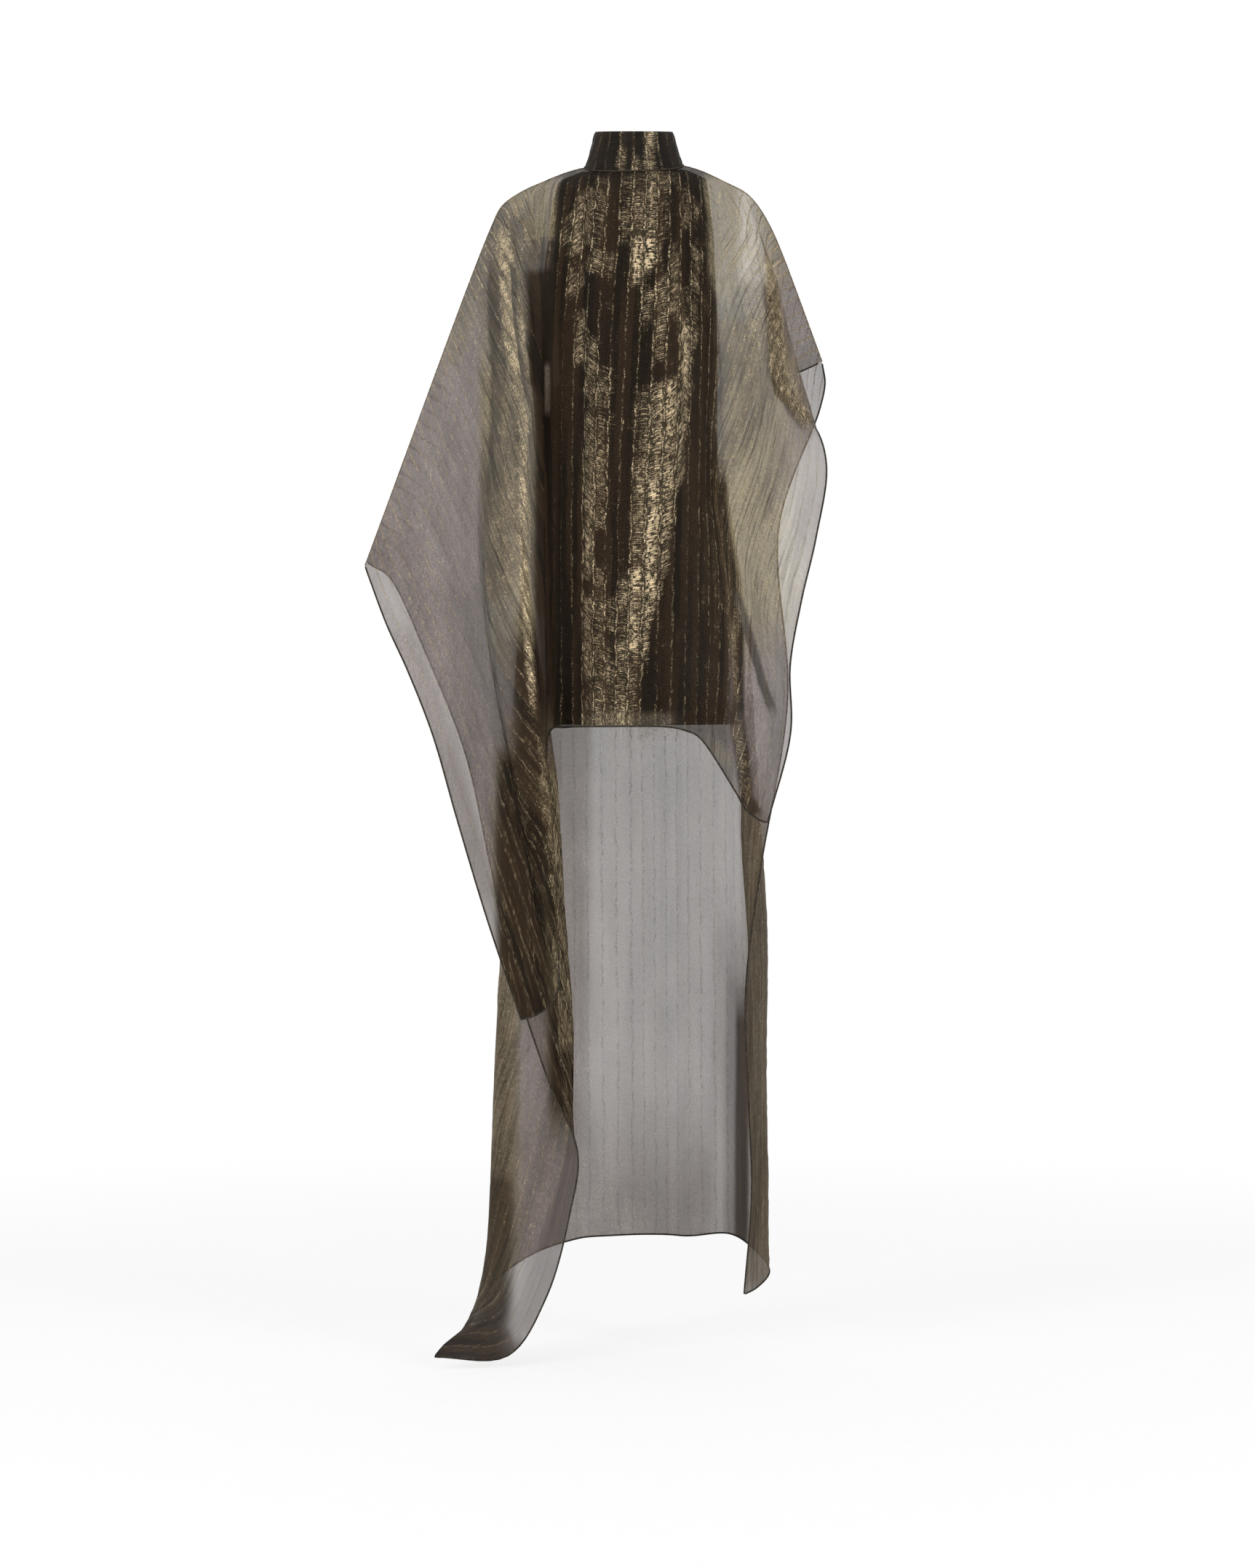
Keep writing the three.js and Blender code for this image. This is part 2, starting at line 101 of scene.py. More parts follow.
# height, half width, front and back of the collar's rings
COLLAR_RINGS = [
    (1.3, 72, 57.5, 54.5),
    (14, 67.5, 54, 52),
    (34, 62, 50, 49),
    (50, 58, 47, 47),
    (55, 56, 45, 45),
]
COLLAR_WALL = 3.2  # its thickness
COLLAR_DIP = 8.0  # how much lower the middle of its top edge is in front than at the sides

# Fold lines: where each one leaves the arm line, the turns of a pleat, and its fall to the hem
FRONT_LEFT = [
    (-395, (), ((-362, -76, -680), (-329, -92, -751), (-293, -104, -842), (-257, -124, -963),
                (-214, -142, -1103), (-163, -152, -1253))),
    (-334, (), ((-303, -80, -542), (-274, -94, -639), (-243, -106, -757), (-211, -120, -911),
                (-176, -144, -1078), (-141, -158, -1246))),
    (-273, (), ((-258, -68, -392), (-245, -82, -511), (-223, -98, -661), (-190, -114, -852),
                (-152, -146, -1052), (-121, -160, -1232))),
    (-213, (), ((-203, -54, -262), (-206, -64, -402), (-217, -76, -553), (-199, -98, -757),
                (-146, -140, -1021), (-113, -158, -1219))),
    (-187, (), ((-172, -76, -212), (-150, -94, -321), (-163, -104, -503), (-154, -118, -705),
                (-120, -150, -979), (-108, -164, -1198))),
    (-172, (), ((-158, -50, -194), (-142, -66, -308), (-145, -70, -490), (-143, -80, -671),
                (-131, -104, -842), (-122, -126, -1021))),
    (-153, (), ((-138, -54, -188), (-134, -60, -317), (-132, -62, -489), (-130, -66, -628),
                (-126, -72, -740), (-121, -80, -834))),
]
# top, hem and height of the hem of each line that lies on the body
FRONT_BODY = [
    (-104, -103, -831),
    (-74, -79, -830),
    (-66, -68, -830),
    (-44, -40, -830),
    (0, -3, -830),
    (44, 34, -830),
    (66, 58, -832),
    (74, 74, -836),
    (100, 94, -845),
]
FRONT_RIGHT = [
    (130, (), ((127, -50, -189), (123, -54, -339), (124, -58, -500), (137, -70, -618),
               (150, -84, -757), (147, -92, -924))),
    (171, (), ((180, -60, -241), (174, -66, -403), (154, -72, -559), (168, -92, -672),
               (178, -108, -789), (163, -108, -952))),
    (212, ((194, -22, -132), (204, -34, -148)),
     ((210, -54, -316), (199, -62, -467), (181, -78, -607), (189, -106, -704),
      (201, -116, -816), (173, -112, -960))),
    (245, ((200, -24, -227), (226, -38, -245)),
     ((236, -50, -375), (228, -60, -499), (214, -72, -617), (210, -92, -718),
      (216, -104, -826), (184, -108, -967))),
    (279, ((207, -24, -332), (265, -36, -385)),
     ((283, -44, -444), (267, -56, -552), (245, -68, -645), (228, -80, -740),
      (228, -90, -839), (194, -104, -970))),
]
FRONT_SHARES = (0.02, 0.07, 0.2, 0.36, 0.52, 0.68, 0.84, 1)  # stations of a body line's fall
BACK_LEFT = [
    (-393, (), ((-361, -44, -608), (-305, -48, -724), (-246, -80, -871), (-211, -112, -1021),
                (-176, -126, -1184), (-123, -134, -1345), (-82, -132, -1446),
                (-93, -124, -1535), (-128, -120, -1659), (-183, -128, -1741),
                (-288, -150, -1739))),
    (-308, (), ((-292, -12, -422), (-248, -14, -584), (-191, -54, -788), (-165, -98, -948),
                (-139, -112, -1116), (-105, -120, -1306), (-87, -122, -1434),
                (-104, -114, -1522), (-144, -108, -1640), (-195, -114, -1709),
                (-275, -136, -1725))),
    (-219, (), ((-211, 20, -182), (-195, 22, -399), (-146, -24, -691), (-113, -74, -895),
                (-100, -88, -1096), (-88, -94, -1292), (-95, -104, -1423),
                (-116, -100, -1509), (-161, -94, -1624), (-205, -100, -1684),
                (-263, -120, -1717))),
    (-198, (), ((-190, 34, -148), (-177, 44, -353), (-159, 12, -646), (-151, -26, -905),
                (-146, -42, -1103), (-144, -50, -1298), (-148, -58, -1424),
                (-164, -60, -1505), (-192, -62, -1611), (-220, -68, -1667),
                (-252, -88, -1712))),
    (-172, (), ((-169, 46, -113), (-163, 70, -328), (-171, 54, -644), (-189, 22, -910),
                (-195, 2, -1100), (-205, -6, -1301), (-210, -12, -1429),
                (-213, -16, -1510), (-220, -24, -1614), (-230, -30, -1665),
                (-241, -44, -1706))),
    (-147, (), ((-150, 56, -99), (-146, 88, -302), (-147, 88, -608), (-159, 72, -905),
                (-165, 60, -1102), (-174, 50, -1305), (-180, 42, -1428),
                (-184, 36, -1505), (-189, 26, -1580), (-199, 18, -1623),
                (-211, 4, -1657))),
]
BACK_SHARES = (0, 0.006, 0.022, 0.05, 0.175, 0.365, 0.55, 0.675, 0.8, 0.88, 0.93, 0.965, 0.985, 1)
# top, foot (x, y, z) and depth of each line that hangs down the back
BACK_BODY = [
    (-112, (-146, 70, -1618), 104),
    (-74, (-86, 98, -1602), 112),
    (-66, (-72, 102, -1600), 115),
    (-44, (-36, 111, -1599), 118),
    (0, (10, 118, -1598), 120),
    (44, (52, 115, -1598), 119),
    (66, (78, 108, -1599), 117),
    (74, (92, 104, -1598), 115),
    (126, (142, 92, -1593), 104),
]
CHEST_SHARE = 0.18  # share of its fall above which a line of the back keeps its full depth
MIDDLE_LINE = 4  # place of the middle line in FRONT_BODY and BACK_BODY
BACK_RIGHT = [
    (163, ((169, 72, -280), (159, 78, -587), (154, 74, -828), (165, 66, -1222),
           (174, 54, -1606))),
    (193, ((201, 54, -329), (177, 46, -601), (168, 28, -807), (194, 8, -1008),
           (197, 6, -1348), (201, -2, -1637))),
    (238, ((216, 38, -397), (180, 24, -581), (172, -10, -755), (157, -36, -980),
           (173, -34, -1195), (182, -30, -1480), (181, -30, -1657))),
    (279, ((284, 16, -327), (250, 26, -425), (196, 6, -598), (188, -12, -655),
           (225, -40, -739), (203, -58, -937), (166, -50, -1172), (167, -46, -1340),
           (173, -42, -1516), (162, -38, -1666))),
]
# The underdress's upper edge, outside the neck
ARMHOLE = [
    (-137, -185),
    (-131, -149),
    (-125, -110),
    (-119, -60),
    (-112, -26),
    (-107, -17),
    (-73, -3),
    (73, 0),
    (105, -14),
    (111, -50),
    (117, -110),
    (121, -170),
    (123, -225),
    (124, -268),
]

# ---- Painted highlights, sheen and shade, the olive tint and the creases, from place to place ----
# Lines in (x, z) that more than one stroke or crease follows
PLEAT_CREASE = ((-179, -150), (-174, -240), (-164, -310), (-153, -352))
OUTER_TROUGH = ((-208, -140), (-206, -230), (-203, -300), (-203, -380), (-206, -480))
SLEEVE_VALLEY = ((-139, -150), (-133, -250), (-128, -340))
WRAP_EDGE = ((-142, -180), (-135, -300), (-132, -420), (-133, -600), (-131, -700))
LEFT_LAYERS = ((-176, -850), (-180, -1000), (-176, -1150), (-162, -1300))
RIGHT_TUCK = ((200, -170), (206, -250), (208, -310), (236, -362), (260, -392))
RIGHT_PLEAT = ((150, -632), (166, -690), (186, -765), (202, -812))
RIGHT_CORNER = ((146, -800), (156, -870), (163, -935), (182, -965))
BACK_SHOULDER = ((140, -30), (160, -110), (160, -170))
BACK_TURN = ((-203, -1180), (-200, -1400), (-198, -1560), (-206, -1650), (-226, -1710))
TRAIN_FOLD = ((-206, -1480), (-205, -1600), (-206, -1700), (-212, -1780))
TRAIN_HEM = ((-310, -1752), (-246, -1716), (-198, -1738), (-165, -1765))
RIGHT_SIDE = ((152, -1100), (152, -1300), (150, -1700))
RIGHT_OVERLAP = ((158, -1180), (157, -1350), (154, -1720))
RIGHT_FOLD = ((164, -1230), (163, -1400), (160, -1780))
RIGHT_EDGE = ((172, -900), (176, -1300), (184, -1700))

# Each row is one brush stroke: the fold lines it stays between (counted from the left edge), its
# half width in millimetres, the level it brings the field to, and the (x, z) line that it follows.
FRONT_PAINTED_LIGHT = {
    # Painted highlight: how brightly the gold thread shows, as if lit
    "gleam": (
        (0, 7, 200, 0.12, ((-260, -100), (-240, -1000))),
        (6.4, 9, 17, -0.18, ((-116, -210), (-114, -500), (-112, -720))),
        (13, 16, 19, -0.18, ((112, -260), (104, -420), (94, -560), (90, -720))),
        (0, 7, 42, 0.56, ((-200, -80), (-184, -200), (-176, -320), (-172, -480), (-166, -660))),
        (0, 7, 13, 1.25, ((-196, -85), (-188, -150), (-184, -230), (-172, -320))),
        (0, 7, 10, 1.0, ((-162, -190), (-152, -270), (-143, -330), (-140, -370))),
        (0, 7, 7, 0.15, ((-146, -400), (-143, -520), (-143, -640))),
        (0, 7, 9, 1.2, ((-168, -330), (-162, -400), (-159, -520), (-159, -600), (-154, -680), (-148, -760),
                        (-143, -820))),
        (0, 7, 12, 0.3, ((-160, -800), (-150, -900), (-145, -1000))),
        (0, 7, 42, 0.12, ((-168, -860), (-168, -1000), (-158, -1280))),
        (0, 7, 8, 0.6, ((-137, -830), (-129, -900), (-126, -960), (-121, -1020), (-110, -1090),
                        (-104, -1150))),
        (0, 7, 8, 0.7, ((-113, -1130), (-110, -1190), (-106, -1230))),
        (0, 7, 4, -0.1, PLEAT_CREASE),
        (0, 7, 9, 0.1, ((-209, -140), *OUTER_TROUGH[1:])),
        (0, 7.6, 23, -0.34, SLEEVE_VALLEY),
        (0, 7.6, 15, -0.3, ((-140, -180), (-133, -300), (-131, -420), (-132, -600), (-130, -700),
                            (-124, -860))),
        (15, 21, 70, 0.32, ((160, -60), (175, -250), (165, -640))),
        (15.6, 21, 12, 0.7, ((176, -90), (176, -200), (170, -330))),
        (18.4, 21, 30, -0.22, ((236, -170), (258, -290))),
        (17, 21, 13, 1.0, ((200, -130), (208, -230), (210, -300), (235, -350), (258, -388))),
        (15, 21, 6, 0.45, ((136, -480), (144, -520), (158, -610), (178, -655))),
        (15, 21, 6, 0.6, ((152, -640), (146, -720), (150, -800))),
        (15, 21, 9, 0.6, ((148, -820), (156, -880), (165, -940))),
    ),
    # Painted sheen: how much lighter the silk is drawn, where light falls on it
    "painted_sheen": (
        (0, 5.9, 170, 1.33, ((-330, -520), (-260, -300), (-270, -700), (-230, -1100))),
        (0, 5.9, 80, 0.85, ((-290, -900), (-240, -1100))),
        (0, 5.9, 40, 0.95, ((-240, -620), (-225, -760), (-215, -860))),
        (0, 6.6, 26, 1.4, ((-190, -60), (-140, -40), (-138, -60), (-140, -120))),
        (4, 7.6, 9, 1.4, ((-112, -10), (-122, -40), (-130, -80), (-138, -130))),
        (0, 7.2, 18, 0.2, ((-150, -150), (-146, -230))),
        (0, 7, 34, 0.6, ((-200, -90), (-188, -200), (-174, -320), (-166, -480), (-162, -620))),
        (0, 7, 5, 0.9, ((-190, -110), (-186, -200), (-178, -270), (-170, -330))),
        (0, 7, 4, 0.9, ((-166, -200), (-156, -270), (-148, -330), (-144, -360))),
        (0, 7, 4, 0.1, ((-197, -140), (-195, -240), (-190, -330))),
        (0, 7, 9, 0.34, OUTER_TROUGH),
        (0, 7, 22, 0.58, ((-206, -440), (-203, -560), (-198, -660), (-188, -760), (-178, -830))),
        (0, 7, 9, 0.62, ((-155, -380), (-149, -480), (-148, -620))),
        (0, 7, 4, 0.3, PLEAT_CREASE),
        (0, 7.6, 22, 0.5, ((-146, -110), (-142, -140), (-139, -165))),
        (0, 7.6, 23, 0.05, SLEEVE_VALLEY),
        (0, 7.4, 13, 0.0, (*WRAP_EDGE, (-126, -830))),
        (4, 7.4, 4, 1.0, ((-128, -298), (-127, -340), (-127, -372))),
        (0, 7, 26, 0.0, ((-152, -680), (-150, -830), (-148, -1000), (-146, -1290))),
        (0, 7.2, 15, 0.03, ((-130, -850), (-122, -960), (-114, -1080), (-106, -1200))),
        (0, 7, 24, 0.02, LEFT_LAYERS),
        (16.05, 21, 120, 1.3, ((170, -60), (200, -250), (205, -450), (200, -700), (190, -950))),
        (14.4, 21, 12, 2.2, ((112, -20), (118, -60), (124, -120), (130, -200))),
        (15.6, 21, 36, 2.9, ((132, -10), (140, -110), (142, -170))),
        (15.6, 21, 20, 0.8, ((168, -200), (168, -260), (166, -340))),
        (15.6, 21, 26, 0.8, ((192, -240), (186, -330), (180, -400))),
        (15.6, 21, 24, 1.8, ((172, -420), (170, -540))),
        (15.6, 21, 30, 1.6, ((158, -520), (176, -600), (170, -700), (176, -800))),
        (17, 21, 13, 0.2, RIGHT_TUCK),
        (15, 21, 9, 0.1, ((124, -440), (128, -520), (140, -600), (152, -690), (152, -800), (152, -860))),
        (16, 21, 7, 0.2, RIGHT_PLEAT),
        (15, 21, 11, 0.1, RIGHT_CORNER),
        (12.6, 16, 40, 0.07, ((112, -240), (108, -600), (102, -800))),
        (7, 15.5, 14, 0.5, ((-60, -822), (60, -824))),
        (13, 16, 20, 0.45, ((110, -860), (128, -890))),
    ),
    # Painted shade: how much more of the view the cloth hides, darker in folds and troughs, partly for the
    # closer look of bunched layers; below 0 it hides less
    "density_and_shade": (
        (0, 6.5, 200, 0.10, ((-300, -600), (-230, -1100))),
        (0, 1.3, 34, 0.56, ((-362, -680), (-310, -800), (-257, -963), (-214, -1103))),
        (0, 7, 26, 0.35, ((-196, -90), (-186, -200), (-172, -320), (-164, -480), (-160, -620))),
        (0, 7.6, 15, 0.5, ((-152, -80), (-146, -110), (-141, -150))),
        (0, 7.6, 23, 1.0, SLEEVE_VALLEY),
        (0, 7.2, 15, 1.0, (*WRAP_EDGE, (-126, -860))),
        (0, 7, 4, 0.4, PLEAT_CREASE),
        (0, 7, 9, 0.6, OUTER_TROUGH),
        (0, 7, 22, 0.55, ((-206, -300), (-206, -440), (-203, -560), (-197, -660))),
        (0, 7, 20, 0.35, ((-194, -700), (-186, -770), (-178, -830))),
        (0, 7, 22, 0.8, ((-156, -660), (-152, -760), (-152, -860))),
        (0, 7, 42, 1.0, ((-152, -800), (-152, -1000), (-150, -1300))),
        (0, 7, 24, 1.0, LEFT_LAYERS),
        (0, 7, 18, 1.0, ((-125, -800), (-118, -1000), (-116, -1290))),
        (15.4, 21, 44, -0.95, ((130, -10), (145, -110), (148, -240))),
        (17, 21, 12, 0.8, RIGHT_TUCK),
        (15, 21, 12, 1.0, ((124, -440), (130, -520), (142, -600), (152, -690), (152, -800), (152, -860))),
        (16, 21, 7, 0.5, RIGHT_PLEAT),
        (15, 21, 10, 0.7, RIGHT_CORNER),
    ),
    # Whether the painted sheen is olive rather than lilac; where olive, painted streaks of light and gold
    # run along the threads
    "olive": (
        (0, 7, 46, 1.0, ((-190, -50), (-178, -200), (-165, -330), (-158, -480), (-156, -660))),
        (0, 7.6, 40, 1.0, ((-190, -50), (-150, -40), (-135, -120))),
        (0, 7.2, 44, 1.0, ((-160, -860), (-160, -1060), (-150, -1250))),
        (0, 7.2, 24, 1.0, ((-150, -680), (-140, -860), (-120, -1060), (-106, -1250))),
        (0, 7, 30, 0.6, ((-215, -100), (-290, -300))),
        (0, 7, 22, 0.9, ((-206, -250), (-204, -440), (-201, -560), (-196, -660), (-186, -760))),
        (14.5, 21, 85, 1.0, ((150, -50), (165, -250), (160, -450), (165, -640))),
        (17, 21, 30, 0.0, ((232, -170), (262, -280))),
        (13, 17, 20, 1.0, ((100, -840), (128, -890))),
        (7, 15, 60, 0.8, ((0, -50), (0, -800))),
        (12.4, 14.8, 30, 1.0, ((104, -10), (112, -100), (118, -200), (122, -320), (118, -560))),
    ),
}
# The painted highlights, sheen and shade and the olive tint of the back panel
BACK_PAINTED_LIGHT = {
    "gleam": (
        (0, 6, 200, 0.12, ((-240, -200), (-160, -1600))),
        (6, 15.2, 90, -0.5, ((-60, -920), (-60, -1600))),
        (6, 15.2, 90, -0.5, ((70, -920), (70, -1600))),
        (2.2, 5.2, 24, -0.1, ((-198, -1180), (-196, -1400), (-192, -1600), (-206, -1740))),
        (15.5, 18, 16, 0.0, ((176, -1000), (180, -1300), (184, -1640))),
        (0, 4, 13, 1.1, ((-124, -860), (-112, -960), (-104, -1060), (-100, -1200), (-98, -1320))),
        (0, 4, 7, 0.6, ((-98, -1300), (-94, -1420))),
    ),
    "painted_sheen": (
        (0, 6, 150, 0.9, ((-300, -450), (-220, -900), (-160, -1400), (-200, -1700))),
        (5.4, 15.4, 130, 0.95, ((-40, -850), (-40, -1200), (-40, -1600))),
        (5.4, 15.4, 130, 0.95, ((70, -850), (70, -1200), (70, -1600))),
        (0, 6, 26, 0.0, ((-110, -860), (-104, -1000), (-100, -1150), (-100, -1300), (-98, -1430))),
        (3, 5.2, 18, 0.75, BACK_TURN),
        (0.4, 5.2, 31, 0.18, TRAIN_FOLD),
        (0, 6, 34, 0.12, TRAIN_HEM),
        (13.0, 16.4, 34, 0.75, RIGHT_SIDE),
        (13.0, 16.4, 20, 0.45, RIGHT_OVERLAP),
        (13.6, 16.4, 11, 0.05, RIGHT_FOLD),
        (15.4, 18, 30, 0.56, RIGHT_EDGE),
        (15.6, 18, 100, 1.0, ((250, -200), (270, -400), (230, -700))),
        (15, 18, 44, 1.9, BACK_SHOULDER),
        (17.2, 18, 14, 0.8, ((160, -1600), (160, -1670))),
    ),
    "density_and_shade": (
        (15, 18, 44, -0.9, BACK_SHOULDER),
        (3, 5.2, 14, 0.75, BACK_TURN),
        (2.6, 5.2, 28, 1.0, ((-200, -1180), (-200, -1400), (-204, -1560))),
        (0.4, 5.2, 31, 1.0, TRAIN_FOLD),
        (0, 6, 34, 1.0, TRAIN_HEM),
        (5.4, 15.4, 150, 0.17, ((20, -850), (20, -1200), (20, -1400))),
        (5.4, 15.4, 150, 0.62, ((-200, -1580), (220, -1580))),
        (5.4, 9, 38, 0.62, ((-100, -700), (-104, -1300), (-110, -1600))),
        (13.0, 16.4, 34, 0.3, RIGHT_SIDE),
        (13.0, 16.4, 20, 0.6, RIGHT_OVERLAP),
        (13.6, 16.4, 11, 0.95, RIGHT_FOLD),
        (15.4, 18, 26, 0.85, RIGHT_EDGE),
        (0, 6, 28, 0.95, ((-110, -860), (-104, -1000), (-104, -1150), (-104, -1300), (-96, -1430))),
        (16.4, 18, 60, -0.25, ((255, -420), (285, -600), (262, -720), (240, -860))),
        (0, 1.6, 70, 0.36, ((-370, -600), (-320, -740), (-250, -900), (-215, -1050))),
        (0, 3, 60, 0.36, ((-135, -1440), (-150, -1560))),
        (0, 3, 40, 0.3, ((-110, -1600), (-150, -1720))),
    ),
    "olive": (
        (2.2, 5.2, 32, 0.7, ((-200, -1150), (-196, -1600), (-215, -1760))),
        (15.4, 18, 30, 0.6, ((172, -880), (176, -1300), (184, -1720))),
        (0, 6, 26, 0.8, ((-110, -860), (-102, -1150), (-98, -1430))),
        (6, 15, 60, 0.7, ((0, -50), (0, -780))),
    ),
}
# The painted glints on the gold of each stripe of the body, where it catches the light, with the
# stripes counted from the middle to the right: from one height to the next, and how strongly it shows
BODY_GLINTS = {
    -6: ((-70, -150, 0.5),),
    -5: ((-45, -145, 1.15), (-160, -206, 0.8)),
    -4: ((-35, -135, 0.75), (-140, -190, 0.5), (-226, -300, 1.0)),
    -3: ((-25, -135, 0.55), (-135, -178, 0.75), (-264, -330, 0.95), (-330, -470, 0.85),
         (-470, -612, 1.15), (-640, -760, 0.8), (-760, -840, 0.6)),
    -2: ((-140, -178, 0.75), (-306, -420, 0.65), (-420, -545, 0.8), (-603, -690, 0.75),
         (-690, -840, 0.85)),
    -1: ((-15, -128, 0.6), (-370, -402, 0.35), (-640, -700, 0.5), (-700, -840, 0.6)),
    0: ((-15, -110, 0.75), (-110, -190, 1.8), (-376, -404, 0.4), (-608, -700, 0.8),
        (-700, -840, 0.95)),
    1: ((-5, -110, 1.05), (-110, -168, 1.8), (-188, -246, 0.8), (-336, -430, 0.75), (-430, -600, 1.0),
        (-600, -730, 1.35), (-730, -840, 0.75)),
    2: ((-10, -50, 0.8), (-54, -135, 0.5), (-135, -176, 0.3), (-176, -240, 0.85), (-240, -302, 0.8),
        (-328, -470, 1.2), (-470, -640, 1.5), (-640, -740, 1.1)),
    3: ((-15, -40, 0.5), (-45, -130, 0.15), (-130, -240, 0.85), (-240, -318, 0.25), (-318, -440, 1.4),
        (-440, -560, 1.25), (-560, -690, 1.1)),
    4: ((-35, -110, 0.6), (-195, -238, 0.65), (-238, -332, 1.4), (-332, -560, 1.1)),
    5: ((-60, -112, 0.5), (-120, -200, 0.8), (-200, -250, 0.8), (-250, -335, 0.9)),
    6: ((-118, -165, 0.4),),
}
# Where the painted glints of the body end on its right, by height
GLINT_BORDER = ((-829, 3), (-760, 13), (-684, 25), (-641, 37), (-583, 50), (-511, 61), (-439, 73),
               (-382, 84), (-237, 94), (-150, 104), (0, 120))
# How far the warp lines of the body lie to the right of the pattern's own place: at each height,
# on the left, in the middle and on the right
LEAN_SIDES = (-90, 0, 80)
LEAN = ((0, 24, 12, 0), (-240, 0, 0, 0), (-430, -2, -10, -5), (-620, -3, -17, -10), (-830, -3, -20, -14))

# Narrow folds pressed into the cloth: fold lines between, half width, height, and the line
FRONT_CREASES = (
    (0, 7, 5, -2.0, ((-179, -130), *PLEAT_CREASE[1:])),
    (0, 7, 7, 3.0, ((-188, -110), (-184, -220), (-172, -320), (-166, -420), (-163, -600), (-156, -700))),
    (0, 7, 6, -2.5, (*OUTER_TROUGH, (-216, -640))),
    (0, 7, 5, 2.0, ((-221, -180), (-216, -300), (-214, -420))),
    (0, 7, 6, 2.5, ((-160, -180), (-150, -270), (-142, -340))),
    (15, 21, 5, 2.5, ((130, -470), (136, -520), (150, -610), (168, -650))),
    (15, 21, 5, -2.5, ((138, -470), (146, -530), (158, -600))),
    (16, 21, 6, -3.0, ((152, -632), *RIGHT_PLEAT[1:])),
    (16, 21, 6, 2.0, ((166, -650), (180, -690), (200, -760))),
)
BACK_CREASES = (
    (3, 5.4, 4, 1.6, ((-198, -1200), (-197, -1400), (-197, -1600))),
    (3, 5.4, 4, -1.6, ((-190, -1200), (-189, -1400), (-188, -1620))),
    (13.6, 16.4, 3, -2.0, ((160, -1150), (160, -1580))),
    (13.6, 16.4, 3, 2.0, ((167, -1150), (167, -1590))),
)


# ---- Sizes and colours that a user would change ----
def length(name, text, default):
    return bpy.props.FloatProperty(
        name=name, description=text, default=default, min=0.0, unit="LENGTH", subtype="DISTANCE"
    )


def share(name, text, default, top=1.0):
    return bpy.props.FloatProperty(
        name=name, description=text, default=default, min=0.0, max=top, subtype="FACTOR"
    )


def power(name, text, default):
    return bpy.props.FloatProperty(name=name, description=text, default=default, min=0.0, unit="POWER")


def colour(name, text, default):
    return bpy.props.FloatVectorProperty(
        name=name, description=text, default=default, min=0.0, max=1.0, size=3, subtype="COLOR"
    )


class KaftanSizes(bpy.types.PropertyGroup):
    """Sizes of the cloth's pattern, of its mesh and of the thin trim"""

    stripe: length("Stripe", "Distance from one gold warp line to the next", 0.0205)
    puff: length("Puff", "How far the cloth stands up between two warp lines", 0.0009)
    ripple: length("Ripple", "Height of the small cross ripples of the crushed cloth", 0.0007)
    column: length("Column", "Width of one step of the sheer cloth's mesh", 0.0040)
    row: length("Row", "Height of one step of the sheer cloth's mesh", 0.0036)
    hem: length("Hem", "Thickness of the rolled hems", 0.0026)
    seam: length("Seam", "Thickness of the shoulder seams", 0.0018)
    neck_seam: length("Neck seam", "Thickness of the gathered neck seam", 0.0032)
    binding: length("Binding", "Thickness of the underdress's bound edges", 0.0030)


class KaftanColours(bpy.types.PropertyGroup):
    """Colours of the threads and cloths"""

    thread: colour("Thread", "Dark silk threads of the sheer cloth", (0.021, 0.0140, 0.0080))
    brown: colour("Brown thread", "Dark silk of the warmer stripes", (0.049, 0.0297, 0.0158))
    # Lilac and olive are the colours of the painted sheen, where the silk is drawn as lit
    lilac: colour("Lilac thread", "Pale silk, where it is shot with lilac", (0.475, 0.397, 0.370))
    olive: colour("Olive thread", "Pale silk, where it is shot with olive", (0.52, 0.435, 0.255))
    gold: colour("Gold", "Metal thread", (1.0, 0.80, 0.50))
    bronze: colour("Bronze", "Metal thread that lies in the shade of its neighbours", (0.32, 0.23, 0.125))
    slip: colour("Underdress", "Opaque lining cloth of the underdress", (0.013, 0.010, 0.007))
    slip_warm: colour("Underdress warm", "Warmer stripes of the lining cloth", (0.022, 0.0145, 0.0095))
    hem: colour("Hem", "Thread of the rolled hems", (0.012, 0.009, 0.007))
    cover: share("Cover", "How much of the view one layer of the sheer cloth hides", 0.72)


class KaftanStage(bpy.types.PropertyGroup):
    """Floor, lights and room"""

    floor: colour("Floor", "Floor and backdrop", (0.93, 0.93, 0.93))
    floor_gap: length("Floor gap", "Room between the lowest corner and the floor", 0.012)
    left_light: power("Left light", "Strength of the left soft light", 90.0)
    right_light: power("Right light", "Strength of the right soft light", 80.0)
    top_light: power("Top light", "Strength of the soft light overhead", 25.0)
    front_glow: share("Front glow", "Brightness of the room before the dress", 0.30, 4.0)
    back_glow: share("Back glow", "Brightness of the backdrop behind it", 1.0, 4.0)


# ---- Lines and surfaces ----
def unit(values):
    """Values, kept between 0 and 1."""
    return np.clip(values, 0, 1)


